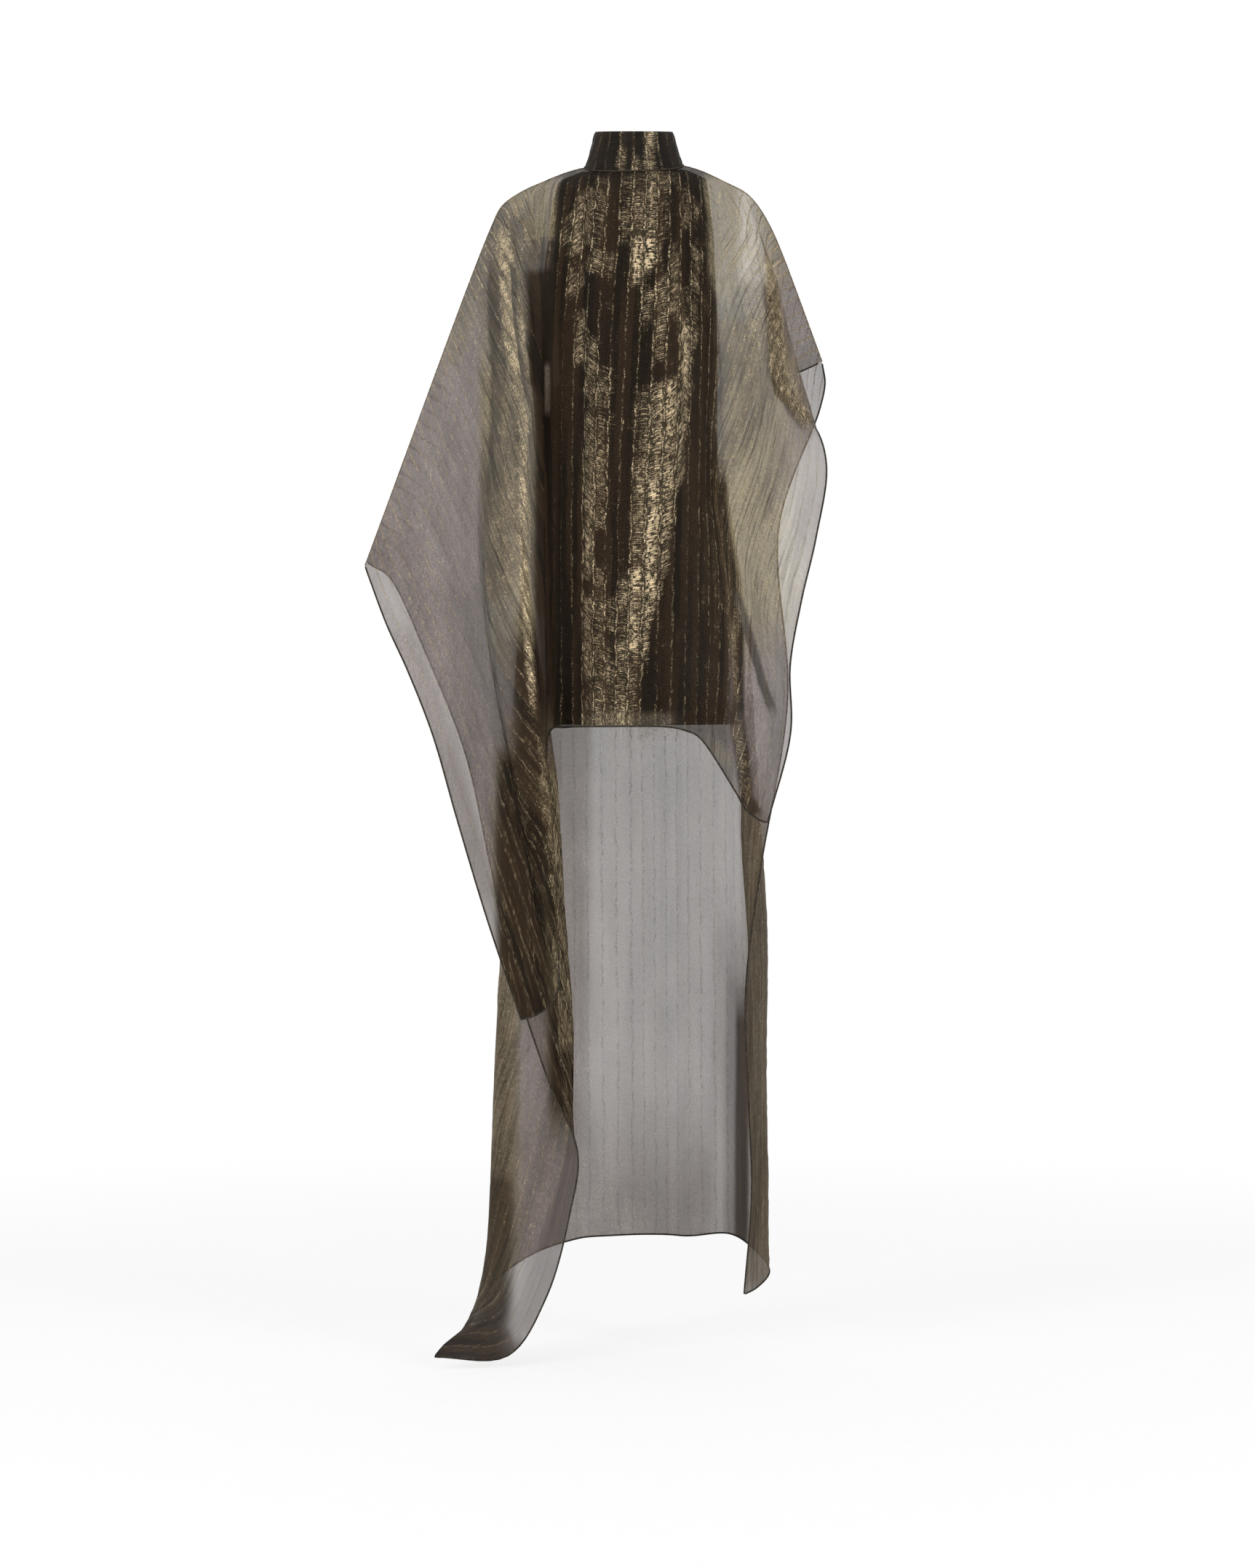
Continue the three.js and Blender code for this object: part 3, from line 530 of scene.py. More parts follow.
def smooth(points, ts):
    """Points on a centripetal curve through points, at shares ts of its stations."""
    p = np.asarray(points, float)
    p = np.concatenate([[2 * p[0] - p[1]], p, [2 * p[-1] - p[-2]]])
    n = len(p) - 3
    place = np.clip(np.asarray(ts, float) * n, 0, n - 1e-9)
    i = place.astype(int)
    w = (place - i)[:, None]
    p0, p1, p2, p3 = p[i], p[i + 1], p[i + 2], p[i + 3]

    def step(a, b):
        return np.maximum(((a - b) ** 2).sum(1), 1e-12)[:, None] ** 0.25

    d0, d1, d2 = step(p0, p1), step(p1, p2), step(p2, p3)
    d0 = np.where(d0 < 1e-4, d1, d0)
    d2 = np.where(d2 < 1e-4, d1, d2)
    t1 = ((p1 - p0) / d0 - (p2 - p0) / (d0 + d1) + (p2 - p1) / d1) * d1
    t2 = ((p2 - p1) / d1 - (p3 - p1) / (d1 + d2) + (p3 - p2) / d2) * d1
    c2 = -3 * p1 + 3 * p2 - 2 * t1 - t2
    c3 = 2 * p1 - 2 * p2 + t1 + t2
    return p1 + t1 * w + c2 * w**2 + c3 * w**3


ARM_CURVE = smooth(ARM_LINE, np.linspace(0, 1, 600))


def arm_point(x, side):
    """The arm line at x, for the front panel where side is -1 and for the back one where it is 1."""
    y, z = (np.interp(x, ARM_CURVE[:, 0], ARM_CURVE[:, k]) for k in (1, 2))
    return np.array([x, y + side * SEAM_GAP, z])


def neck_point(x, side):
    """The neck seam at x, on the front or the back."""
    around = math.sqrt(max(0.0, 1 - (x / NECK_HALF_WIDTH) ** 2))
    depth, rise = (NECK_FRONT, -NECK_DIP) if side < 0 else (NECK_BACK, NECK_RISE)
    z = np.interp(x, ARM_CURVE[:, 0], ARM_CURVE[:, 2]) + rise * around
    return np.array([x, side * max(SEAM_GAP, depth * around), z])


def top_point(x, side):
    """Where the cloth hangs from at x: the neck seam or the arm line."""
    return neck_point(x, side) if abs(x) < NECK_HALF_WIDTH else arm_point(x, side)


def section_at(z):
    """The left side, right side, front and back of the body at one height."""
    rows = np.array(SECTIONS, float)
    return [float(np.interp(z, rows[:, 0], rows[:, k])) for k in (1, 2, 3, 4)]


def rounded(start_z, z):
    """How much of its full depth the cloth has at height z, below the seam at start_z."""
    drop = min(1.0, max(0.0, (start_z - z) / ROUNDING))
    return math.sqrt(1 - (1 - drop) ** 2)


def body_depth(x, z, side, ease, lowered=0.0):
    """How far forward or back cloth lies on the body, which starts lowered below the seam."""
    left, right, front, back = section_at(z)
    across = (x - (left + right) / 2) / ((right - left) / 2 + ease)
    full = (front if side < 0 else back) + ease
    depth = side * full * math.sqrt(max(0.0, 1 - across * across))
    top = top_point(x, side)
    return top[1] + (depth - top[1]) * rounded(top[2] - lowered, z)


def rounded_start(top, first):
    """Points from the seam to a fold line's first point that leave the seam forwards."""
    out = []
    for s in START_SHARES:
        p = top + (first - top) * s
        p[1] = top[1] + (first[1] - top[1]) * math.sqrt(s * (2 - s))
        out.append(p)
    return out


def long_fold(line, side):
    """The stations of a fold line that leaves the arm line, with the turns of its pleat."""
    arm, tuck, fall = line
    top = arm_point(arm, side)
    fall = [np.array(p, float) for p in fall]
    start = [np.array(p, float) for p in tuck] or rounded_start(top, fall[0])
    return [top, *start, *fall]


def front_body_line(line):
    """The stations of a line that lies on the front of the body."""
    top, hem, hem_z = line
    start = top_point(top, -1)
    out = [start]
    for s in FRONT_SHARES:
        x, z = top + (hem - top) * s, start[2] + (hem_z - start[2]) * s
        out.append(np.array([x, body_depth(x, z, -1, EASE), z]))
    return out


def back_body_line(line):
    """The stations of a line that hangs free down the back."""
    top, foot, hang = line
    start = top_point(top, 1)
    out = [start]
    for s in BACK_SHARES[1:]:
        x, z = top + (foot[0] - top) * s, start[2] + (foot[2] - start[2]) * s
        below = min(1.0, max(0.0, (s - CHEST_SHARE) / (1 - CHEST_SHARE)))
        full = hang + (foot[1] - hang) * below**2
        out.append(np.array([x, start[1] + (full - start[1]) * rounded(start[2], z), z]))
    return out


def hanging_fold(line):
    """A fold line of the back's right side, with its stations at BACK_SHARES of its drop."""
    arm, fall = line
    fine = smooth([arm_point(arm, 1), *fall], np.linspace(0, 1, 800))
    drops = (fine[0, 2] - fine[:, 2]) / (fine[0, 2] - fine[-1, 2])
    rows = [np.interp(BACK_SHARES, np.maximum.accumulate(drops), fine[:, k]) for k in range(3)]
    return list(np.array(rows).T)


def cloth_net(lines, down, across, side, first):
    """The panel's points, rows by columns by 3, from its fold lines."""
    rails = np.array([smooth(line, down) for line in lines])
    net = np.array([smooth(rails[:, i, :], across) for i in range(len(down))])
    place = across * (len(lines) - 1)
    x = np.interp(place, np.arange(len(lines)), rails[:, 0, 0])
    seam = np.array([top_point(v, side) for v in x])
    # The first rows run from the seam into the smooth cloth
    fade = unit(down / first)[:, None, None]
    fade = fade * fade * (3 - 2 * fade)
    k = np.clip(place.astype(int), 0, len(lines) - 2)
    w = (place - k)[None, :, None]
    rows = rails.transpose(1, 0, 2)
    straight = rows[:, k, :] * (1 - w) + rows[:, k + 1, :] * w
    straight += (seam - straight[0])[None]
    return straight * (1 - fade) + net * fade


def grain(x, y, seed):
    """Smooth noise between -1 and 1, which is the same in each run."""
    xi, yi = np.floor(x).astype(np.int64), np.floor(y).astype(np.int64)
    xf, yf = x - xi, y - yi

    def corner(i, j):
        h = (i * 374761393 + j * 668265263 + seed * 974634777) & 0xFFFFFFFF
        h = ((h ^ (h >> 13)) * 1274126177) & 0xFFFFFFFF
        return ((h ^ (h >> 16)) & 0xFFFF) / 32767.5 - 1

    sx, sy = xf * xf * (3 - 2 * xf), yf * yf * (3 - 2 * yf)
    low = corner(xi, yi) * (1 - sx) + corner(xi + 1, yi) * sx
    high = corner(xi, yi + 1) * (1 - sx) + corner(xi + 1, yi + 1) * sx
    return low * (1 - sy) + high * sy


def normals(net):
    """The direction in which the cloth faces at each point."""
    n = np.cross(np.gradient(net, axis=1), np.gradient(net, axis=0))
    return n / np.maximum(np.linalg.norm(n, axis=2, keepdims=True), 1e-12)


def running(net, axis):
    """The length of cloth from the net's edge to each point: along its rows where axis is 1, and
    down its columns where it is 0."""
    step = np.linalg.norm(np.diff(net, axis=axis), axis=2)
    zero = np.zeros_like(step[:, :1] if axis == 1 else step[:1])
    return np.concatenate([zero, np.cumsum(step, axis=axis)], axis=axis)


# ---- Strokes and creases ----
WIDE = 45.0  # half width from which a stroke has soft sides and no ends, in millimetres
STEEP, GENTLE = 6, 3  # how fast the sides of a narrow and of a wide stroke fall away
TAPER = 0.10  # share of a narrow stroke's length over which it begins and ends
STROKE_END = 0.25  # how much of a narrow stroke lies at its very ends
RAIL_FADE = 0.4  # part of the way to the next fold line over which a stroke dies away


def brush(net, rails, low, high, width, line):
    """How much of one stroke lies on each point of the net."""
    x, z = net[..., 0] / MM, net[..., 2] / MM
    best, share = np.full(x.shape, np.inf), np.zeros(x.shape)
    lengths = [math.dist(a, b) for a, b in zip(line, line[1:])]
    for k, ((x0, z0), (x1, z1)) in enumerate(zip(line, line[1:])):
        dx, dz = x1 - x0, z1 - z0
        t = unit(((x - x0) * dx + (z - z0) * dz) / (dx * dx + dz * dz))
        far = np.hypot(x - x0 - t * dx, z - z0 - t * dz)
        share = np.where(far < best, (sum(lengths[:k]) + t * lengths[k]) / sum(lengths), share)
        best = np.minimum(best, far)
    narrow = width < WIDE
    ends = unit(np.minimum(share, 1 - share) / TAPER + STROKE_END) if narrow else 1
    inside = unit((rails - low) / RAIL_FADE + 1) * unit((high - rails) / RAIL_FADE + 1)
    return np.exp(-((best / width) ** (STEEP if narrow else GENTLE))) * ends * inside[None, :]


def brushed(net, rails, strokes):
    """A field over the net that each stroke in turn brings to its level. rails gives the place of
    each column among the fold lines."""
    field = np.zeros(net.shape[:2])
    for low, high, width, level, line in strokes:
        field += (level - field) * brush(net, rails, low, high, width, line)
    return field


def creased(net, rails, strokes):
    """The net, with each narrow fold pressed into it."""
    height = np.zeros(net.shape[:2])
    for low, high, width, rise, line in strokes:
        height += rise * MM * brush(net, rails, low, high, width, line)
    return net + normals(net) * height[..., None]


MIDDLE_STRIPE = 20  # number of the stripe in the middle of the body
FEATHER = (-0.24, -0.08, 0.08, 0.24)  # shifts in stripes, whose mean softens the sides of the painted glints
SIDE_WAVER = 0.22  # how far the sides of the painted glints waver, in stripes
END_WAVER, END_JITTER = 11, 7  # how far its ends waver, slowly and quickly, in millimetres
BORDER_WAVER = 6  # how far its border wavers, in millimetres
GLINT_FADE = 18.0  # height over which a stretch of painted glint begins or ends, in millimetres
BORDER_FADE = 9.0  # width over which the painted glints end at their border, in millimetres


def body_glints(turns, x, z, facing):
    """The chart of painted glints on the body's gold at each place, with uneven borders. turns counts
    the stripes, and facing is -1 where the cloth is looked at from behind."""
    total = np.zeros(z.shape)
    for shift in FEATHER:
        moved = turns + shift + SIDE_WAVER * grain(turns * 1.7, z / 17, 31)
        stripe = facing * (np.floor(moved) - MIDDLE_STRIPE) - (0 if facing > 0 else 1)
        high = z + END_WAVER * grain(moved * 5, z / 40, 32) + END_JITTER * grain(moved * 11, z / 15, 33)
        level = np.zeros(z.shape)
        for index, stretches in BODY_GLINTS.items():
            for top, foot, strength in stretches:
                soft = unit((top - high) / GLINT_FADE + 0.5) * unit((high - foot) / GLINT_FADE + 0.5)
                level = np.where(stripe == index, np.maximum(level, strength * soft), level)
        total += level / len(FEATHER)
    heights, border = np.array(GLINT_BORDER, float).T
    room = np.interp(z, heights, border) + BORDER_WAVER * grain(x / 60, z / 26, 34) - facing * x
    return total * unit(room / BORDER_FADE + 0.5)


def lean(x, z):
    """How far to the right the warp lines lean, in millimetres."""
    rows = np.array(LEAN, float)[::-1]
    at = [np.interp(z, rows[:, 0], rows[:, 1 + k]) for k in range(3)]
    left, middle, right = LEAN_SIDES
    near = at[0] + (at[1] - at[0]) * unit((x - left) / (middle - left))
    return near + (at[2] - at[1]) * unit((x - middle) / (right - middle))


# ---- Meshes ----
def new_object(name, vertices, faces, material):
    """A smooth mesh in the scene."""
    mesh = bpy.data.meshes.new(name)
    mesh.from_pydata([tuple(v) for v in vertices], [], [tuple(f) for f in faces])
    mesh.polygons.foreach_set("use_smooth", [True] * len(mesh.polygons))
    mesh.materials.append(material)
    mesh.update()
    obj = bpy.data.objects.new(name, mesh)
    bpy.context.scene.collection.objects.link(obj)
    return obj


def sheet_object(name, net, maps, seams, material, fields=None):
    """A sheet from its net. maps are the cloth's own widths, one for each run of columns between
    seams, and fields are values kept at its points."""
    rows, columns = net.shape[:2]
    i, j = (k.ravel() for k in np.meshgrid(np.arange(rows - 1), np.arange(columns - 1), indexing="ij"))
    a = i * columns + j
    faces = np.stack([a, a + 1, a + columns + 1, a + columns], axis=1)
    obj = new_object(name, net.reshape(-1, 3), faces, material)
    drop = running(net, 0)
    run = np.searchsorted([0, *seams, columns], j, side="right") - 1
    uv = np.empty((len(a), 4, 2))
    for c, (di, dj) in enumerate(((0, 0), (0, 1), (1, 1), (1, 0))):
        uv[:, c, 0] = np.array([m[i + di, j + dj] for m in maps])[run, np.arange(len(a))]
        uv[:, c, 1] = drop[i + di, j + dj]
    obj.data.uv_layers.new(name="cloth").data.foreach_set("uv", uv.ravel())
    for key, values in (fields or {}).items():
        obj.data.attributes.new(key, "FLOAT", "POINT").data.foreach_set("value", values.ravel())
    return obj


def tube(name, path, radius, material, closed=False, ruffle=None):
    """A round cord along a path."""
    sides = 8
    path = np.asarray(path, float)
    keep = np.concatenate([[True], np.linalg.norm(np.diff(path, axis=0), axis=1) > 1e-6])
    path = path[keep]
    ahead = np.roll(path, -1, 0) - np.roll(path, 1, 0)
    if not closed:
        ahead[0], ahead[-1] = path[1] - path[0], path[-1] - path[-2]
    ahead /= np.linalg.norm(ahead, axis=1, keepdims=True)
    # The first ring is turned by a direction along which no path starts
    side = np.cross(ahead[0], (0.3, -1.0, 0.2))
    side /= np.linalg.norm(side)
    vertices = []
    for k, (p, t) in enumerate(zip(path, ahead)):
        side = side - t * side.dot(t)
        side /= np.linalg.norm(side)
        up = np.cross(t, side)
        for s in range(sides):
            angle = 2 * math.pi * s / sides
            r = radius * (1 if ruffle is None else ruffle(k, angle))
            vertices.append(p + r * (math.cos(angle) * side + math.sin(angle) * up))
    faces = []
    n = len(path)
    for k in range(n if closed else n - 1):
        near, far = k * sides, (k + 1) % n * sides
        for s in range(sides):
            after = (s + 1) % sides
            faces.append((near + s, near + after, far + after, far + s))
    if not closed:
        faces.append(tuple(range(sides))[::-1])
        faces.append(tuple((n - 1) * sides + s for s in range(sides)))
    return new_object(name, vertices, faces, material)


def even_path(points, step):
    """Points about a step apart along a line."""
    points = np.asarray(points)
    along = np.concatenate([[0], np.cumsum(np.linalg.norm(np.diff(points, axis=0), axis=1))])
    count = max(2, int(along[-1] / step) + 1)
    at = np.linspace(0, along[-1], count)
    return np.stack([np.interp(at, along, points[:, k]) for k in range(3)], axis=1)


def weld(obj, distance):
    """Joins the points of a closed sheet that lie at the same place."""
    mesh = bmesh.new()
    mesh.from_mesh(obj.data)
    bmesh.ops.remove_doubles(mesh, verts=mesh.verts, dist=distance)
    mesh.to_mesh(obj.data)
    mesh.free()


# ---- Materials ----
class Nodes:
    """The node tree of a new material, or of the world, built a call at a time."""

    def __init__(self, name, kind="materials"):
        self.owner = getattr(bpy.data, kind).new(name)
        self.owner.use_nodes = True
        self.tree = self.owner.node_tree
        self.tree.nodes.clear()

    def add(self, kind, inputs=(), **values):
        node = self.tree.nodes.new(kind)
        for key, value in values.items():
            setattr(node, key, value)
        for key, value in dict(inputs).items():
            self.put(node.inputs[key], value)
        return node

    def put(self, socket, value):
        if isinstance(value, bpy.types.NodeSocket):
            self.tree.links.new(value, socket)
        elif value is not None:
            if socket.type == "RGBA" and len(value) == 3:
                value = (*value, 1.0)
            socket.default_value = value

    def math(self, operation, a, b=None, c=None, clamp=False):
        node = self.add("ShaderNodeMath", operation=operation, use_clamp=clamp)
        for socket, value in zip(node.inputs, (a, b, c)):
            self.put(socket, value)
        return node.outputs[0]

    def times(self, a, b, clamp=False):
        return self.math("MULTIPLY", a, b, clamp=clamp)

    def times_plus(self, a, b, c, clamp=False):
        """a times b, plus c."""
        return self.math("MULTIPLY_ADD", a, b, c, clamp)

    def minus(self, a, b=0.5):
        """a less b. Without b it centres a noise on 0."""
        return self.math("SUBTRACT", a, b)

    def larger(self, a, b, clamp=False):
        return self.math("MAXIMUM", a, b, clamp=clamp)

    def whole(self, value):
        return self.math("FLOOR", value)

    def span(self, value, low, high, out_low=0.0, out_high=1.0, smooth_step=True):
        """Brings value from the span between low and high to that between out_low and out_high."""
        node = self.add("ShaderNodeMapRange", clamp=True)
        node.interpolation_type = "SMOOTHSTEP" if smooth_step else "LINEAR"
        for socket, v in zip(node.inputs, (value, low, high, out_low, out_high)):
            self.put(socket, v)
        return node.outputs[0]

    def vector(self, x, y, z=0.0):
        return self.add("ShaderNodeCombineXYZ", {"X": x, "Y": y, "Z": z}).outputs[0]

    def noise(self, vector, scale, detail=2.0, roughness=0.5):
        inputs = {"Vector": vector, "Scale": scale, "Detail": detail, "Roughness": roughness}
        return self.add("ShaderNodeTexNoise", inputs).outputs["Fac"]

    def blend(self, factor, a, b):
        node = self.add("ShaderNodeMix", {"Factor": factor}, data_type="RGBA")
        self.put(node.inputs["A"], a)
        self.put(node.inputs["B"], b)
        return node.outputs["Result"]

    def bumps(self, height, strength, distance):
        node = self.add("ShaderNodeBump", {"Strength": strength, "Distance": distance, "Height": height})
        return node.outputs[0]

    def cloth(self, colour, rough, bumps, specular, metallic=0.0):
        """The shader of a cloth or thread that hides what is behind it."""
        return self.add("ShaderNodeBsdfPrincipled", {
            "Base Color": colour, "Metallic": metallic, "Roughness": rough, "Normal": bumps,
            "Specular IOR Level": specular}).outputs[0]

    def finish(self, shader, output="ShaderNodeOutputMaterial"):
        self.add(output, {"Surface": shader})
        return self.owner


METAL_SHARE = 0.15  # how much of the gold thread's shine is a mirror's and not a matt surface's
SILK_ROUGH, GOLD_ROUGH = 0.62, 0.30
SILK_GLOW = 0.35  # how much of the silk's light comes through it from behind
CRUSH_BUMP = (0.85, 0.0014)  # strength of the crush in the shading, and its height in metres
SHEEN_SHADE = (0.06, 0.045, 0.025)  # gold thread that turns away from the light
SEAM_TINT = (0.12, 0.095, 0.065)
COLLAR_STRIPE = 0.95  # how wide a stripe of the collar is beside one of the panels
WANDER, WOBBLE = 0.008, 0.0035  # how far a warp line strays, slowly and quickly, in metres
# Half the width of a warp line as a share of a stripe: full, and where it has ended
LINE_BEADS, LINE_CORE = (0.055, 0.11), (0.035, 0.075)
RUNG = 0.0027  # from one short arc of crushed thread to the next, in metres
SWAY, BOW, TILT = 5.0, -2.6, 1.7  # how far the arcs sway, bow and tilt, as a count of arcs
# Each texture of the cloth: how often it changes in a metre across and along the cloth, or from
# one stripe to the next and in a metre along it, then its detail and its roughness
WEAVES = {
    "wander": (14.0, 26.0, 2.5, 0.5),
    "wobble": (40.0, 75.0, 1.0, 0.5),
    "beads": (420.0, 560.0, 3.0, 0.75),
    "broken": (330.0, 560.0, 2.0, 0.6),
    "fine": (800.0, 950.0, 2.0, 0.8),
    "clump": (110.0, 330.0, 3.0, 0.75),
    "slant": (430.0, 90.0, 3.0, 0.7),
    "gloss": (75.0, 42.0, 3.0, 0.7),
    "yarn": (210.0, 4.0, 1.0, 0.5),
    "fine_yarn": (620.0, 14.0, 1.0, 0.5),
    "cloud": (16.0, 9.0, 3.0, 0.5),
    "streak": (55.0, 3.2, 2.0, 0.5),
    "gaps": (3.1, 60.0, 2.0, 0.7),
    "sway": (7.1, 70.0, 2.0, 0.5),
    "patch": (5.3, 19.0, 2.0, 0.6),
    "vigour": (1.37, 0.83, 0.0, 0.5),
}


def weave(n, name, x, y):
    """One texture of the cloth, at a place across and along it."""
    across, along, detail, rough = WEAVES[name]
    return n.noise(n.vector(n.times(x, across), n.times(y, along)), 1.0, detail, rough)


def stripes(n, pitch):
    """The cloth's own width and length in metres, and its count of stripes, which wander."""
    uv = n.add("ShaderNodeSeparateXYZ", {0: n.add("ShaderNodeUVMap", uv_map="cloth").outputs[0]})
    u, v = uv.outputs[0], uv.outputs[1]
    wander = n.minus(weave(n, "wander", u, v))
    wobble = n.minus(weave(n, "wobble", u, v))
    strayed = n.times_plus(wobble, WOBBLE, n.times_plus(wander, WANDER, u))
    return u, v, n.math("DIVIDE", strayed, pitch)


def thread_tone(n, v, turns):
    """Which of the two silks each half stripe has."""
    half = n.whole(n.times(turns, 2.0))
    return n.span(n.noise(n.vector(half, n.times(v, 0.7)), 3.3, 0.0), 0.40, 0.60)


def cloth_pattern(n, pitch):
    """The pattern of the striped crushed cloth."""
    u, v, turns = stripes(n, pitch)
    across = n.math("FRACT", turns)
    stripe = n.whole(turns)
    middle = n.math("ABSOLUTE", n.minus(across))  # 0.5 on a warp line
    edge = n.minus(0.5, middle)
    fine = weave(n, "fine", u, v)
    clump = weave(n, "clump", u, v)
    # The warp lines are strings of gold beads, with gaps
    pin = n.times(n.span(edge, *LINE_BEADS, 1.0, 0.0), n.span(weave(n, "beads", u, v), 0.46, 0.56))
    pin = n.times(pin, n.span(weave(n, "gaps", stripe, v), 0.42, 0.58, 0.12, 1.0))
    # Short arcs of crushed thread, stacked between two warp lines, which sway, bow and tilt
    tilt_at = n.vector(n.times_plus(stripe, 2.3, 9.0), n.times(v, 11.0))
    tilt = n.times(n.minus(n.noise(tilt_at, 1.0, 1.0)), TILT)
    phase = n.times_plus(weave(n, "sway", stripe, v), SWAY, n.math("DIVIDE", v, RUNG))
    phase = n.times_plus(n.times(middle, middle), BOW, phase)
    phase = n.times_plus(n.minus(across), tilt, phase)
    wave = n.times_plus(n.math("SINE", n.times(phase, 2 * math.pi)), 0.5, 0.5)
    # Each arc has its own strength, and is broken into dashes
    row = n.whole(n.math("ADD", phase, 0.25))
    vigour = weave(n, "vigour", stripe, row)
    dash_at = n.vector(n.times(u, 150.0), n.times_plus(stripe, 3.3, n.times(row, 0.63)))
    dash = n.noise(dash_at, 1.0, 2.0, 0.6)
    rung = n.times(n.span(wave, 0.30, 0.78), n.span(dash, 0.38, 0.55))
    rung = n.times(rung, n.span(fine, 0.40, 0.56, 0.35, 1.0))
    rung = n.times(rung, n.span(vigour, 0.30, 0.60, 0.45, 1.0))
    drift_at = n.vector(n.times_plus(across, 0.9, n.times(stripe, 2.9)), n.times(v, 32.0))
    # Fibres that lie slantwise both ways
    one, two = (weave(n, "slant", n.times_plus(v, slope, u), n.times_plus(u, -slope, v))
                for slope in (0.6, -0.5))
    threads = n.math("ADD", weave(n, "yarn", u, v), weave(n, "fine_yarn", u, v))
    return {
        "u": u, "v": v, "pin": pin, "rung": rung, "wave": wave, "fine": fine, "edge": edge,
        "clump": clump, "vigour": vigour, "dash": dash,
        "spark": n.span(fine, 0.50, 0.66),
        "drift": n.noise(drift_at, 1.0, 3.0, 0.65),
        "fibre": n.span(n.larger(one, two), 0.46, 0.66),
        "patch": weave(n, "patch", stripe, v),
        "tone": thread_tone(n, v, turns),
        "gloss": n.span(weave(n, "gloss", u, v), 0.36, 0.64),
        "threads": n.times_plus(threads, 0.5, -0.5),
        "warp": n.span(edge, *LINE_CORE, 1.0, 0.0),
    }


def field(n, name):
    """A field that is painted on the sheet."""
    return n.add("ShaderNodeAttribute", attribute_name=name).outputs["Fac"]


def gold_threads(n, p, gleam, spread=1.0, soft=0.0):
    """Where gold thread shows lit, as a painted highlight that gleam sets: in patches of arcs, along the
    warp lines, and here and there. Where soft is 1 the patches are of slanting fibres instead of arcs."""
    level = gleam
    for key, weight in (
        ("patch", 0.6 * spread), ("clump", 1.3), ("drift", 1.5 * spread), ("vigour", 0.4)
    ):
        level = n.times_plus(n.minus(p[key]), weight, level)
    lit = n.span(level, 0.18, 0.76)
    arcs, slant = (n.times_plus(p[key], weight, n.times(p["spark"], 0.35))
                   for key, weight in (("rung", 0.85), ("fibre", 0.75)))
    arcs = n.times_plus(n.minus(slant, arcs), soft, arcs)
    # Where the painted highlight is strongest the arcs run together
    solid = n.times(n.span(level, 0.85, 1.9, 0.0, 0.75), n.span(p["dash"], 0.40, 0.56))
    arcs = n.math("ADD", arcs, solid, clamp=True)
    face = n.times(n.times(lit, arcs), n.span(p["edge"], 0.06, 0.20, 0.12, 1.0))
    # A few loose painted glints lie beside the lines, and the lines dim where the painted highlight is
    # weak
    near = n.span(p["edge"], 0.05, 0.28, 0.22, 0.0)
    loose = n.times(n.times(p["spark"], near), n.span(gleam, -0.3, 0.2))
    shine = n.span(gleam, -0.30, 0.35, 0.0, 1.0, False)
    shine = n.times(shine, n.times_plus(soft, -0.35, 1.0))
    # The lines get a painted highlight where the cloth turns over the shoulder
    fold = n.times(n.span(p["v"], 0.012, 0.11, 1.0, 0.0), soft)
    fold = n.times(fold, n.times(p["warp"], n.span(p["clump"], 0.36, 0.52)))
    shine = n.larger(shine, n.times(n.span(p["v"], 0.06, 0.45, 1.0, 0.6),
                                    n.times(soft, n.span(gleam, -0.3, 0.0))))
    line = n.larger(n.times(p["pin"], shine), fold)
    return n.larger(n.larger(face, line), loose, clamp=True)


def metal(n, p, gleam, colours):
    """Gold thread: brighter with the painted highlight and where noise has it stand up, painted bronze
    shade elsewhere.
    """
    # The painted highlight brightens the gold, on top of the noise of threads that stand up
    thick = n.times_plus(n.math("MINIMUM", gleam, 2.0), 0.12, -0.12)
    stand = n.times_plus(p["clump"], 0.35, n.times_plus(p["fine"], 0.35, thick))
    stand = n.times_plus(p["drift"], 0.30, n.times_plus(p["pin"], 0.14, stand))
    tone = n.blend(n.span(stand, 0.41, 0.56), colours.bronze, colours.gold)
    # Where the gloss noise is low, the gold darkens towards the painted shade colour
    return n.blend(p["gloss"], n.blend(0.4, tone, SHEEN_SHADE), tone)


def relief(n, p, wave, fine):
    """How high the crushed cloth stands, with its warp lines drawn in."""
    height = n.times_plus(p["wave"], wave, n.times(p["fine"], fine))
    return n.times_plus(p["pin"], -0.5, height)


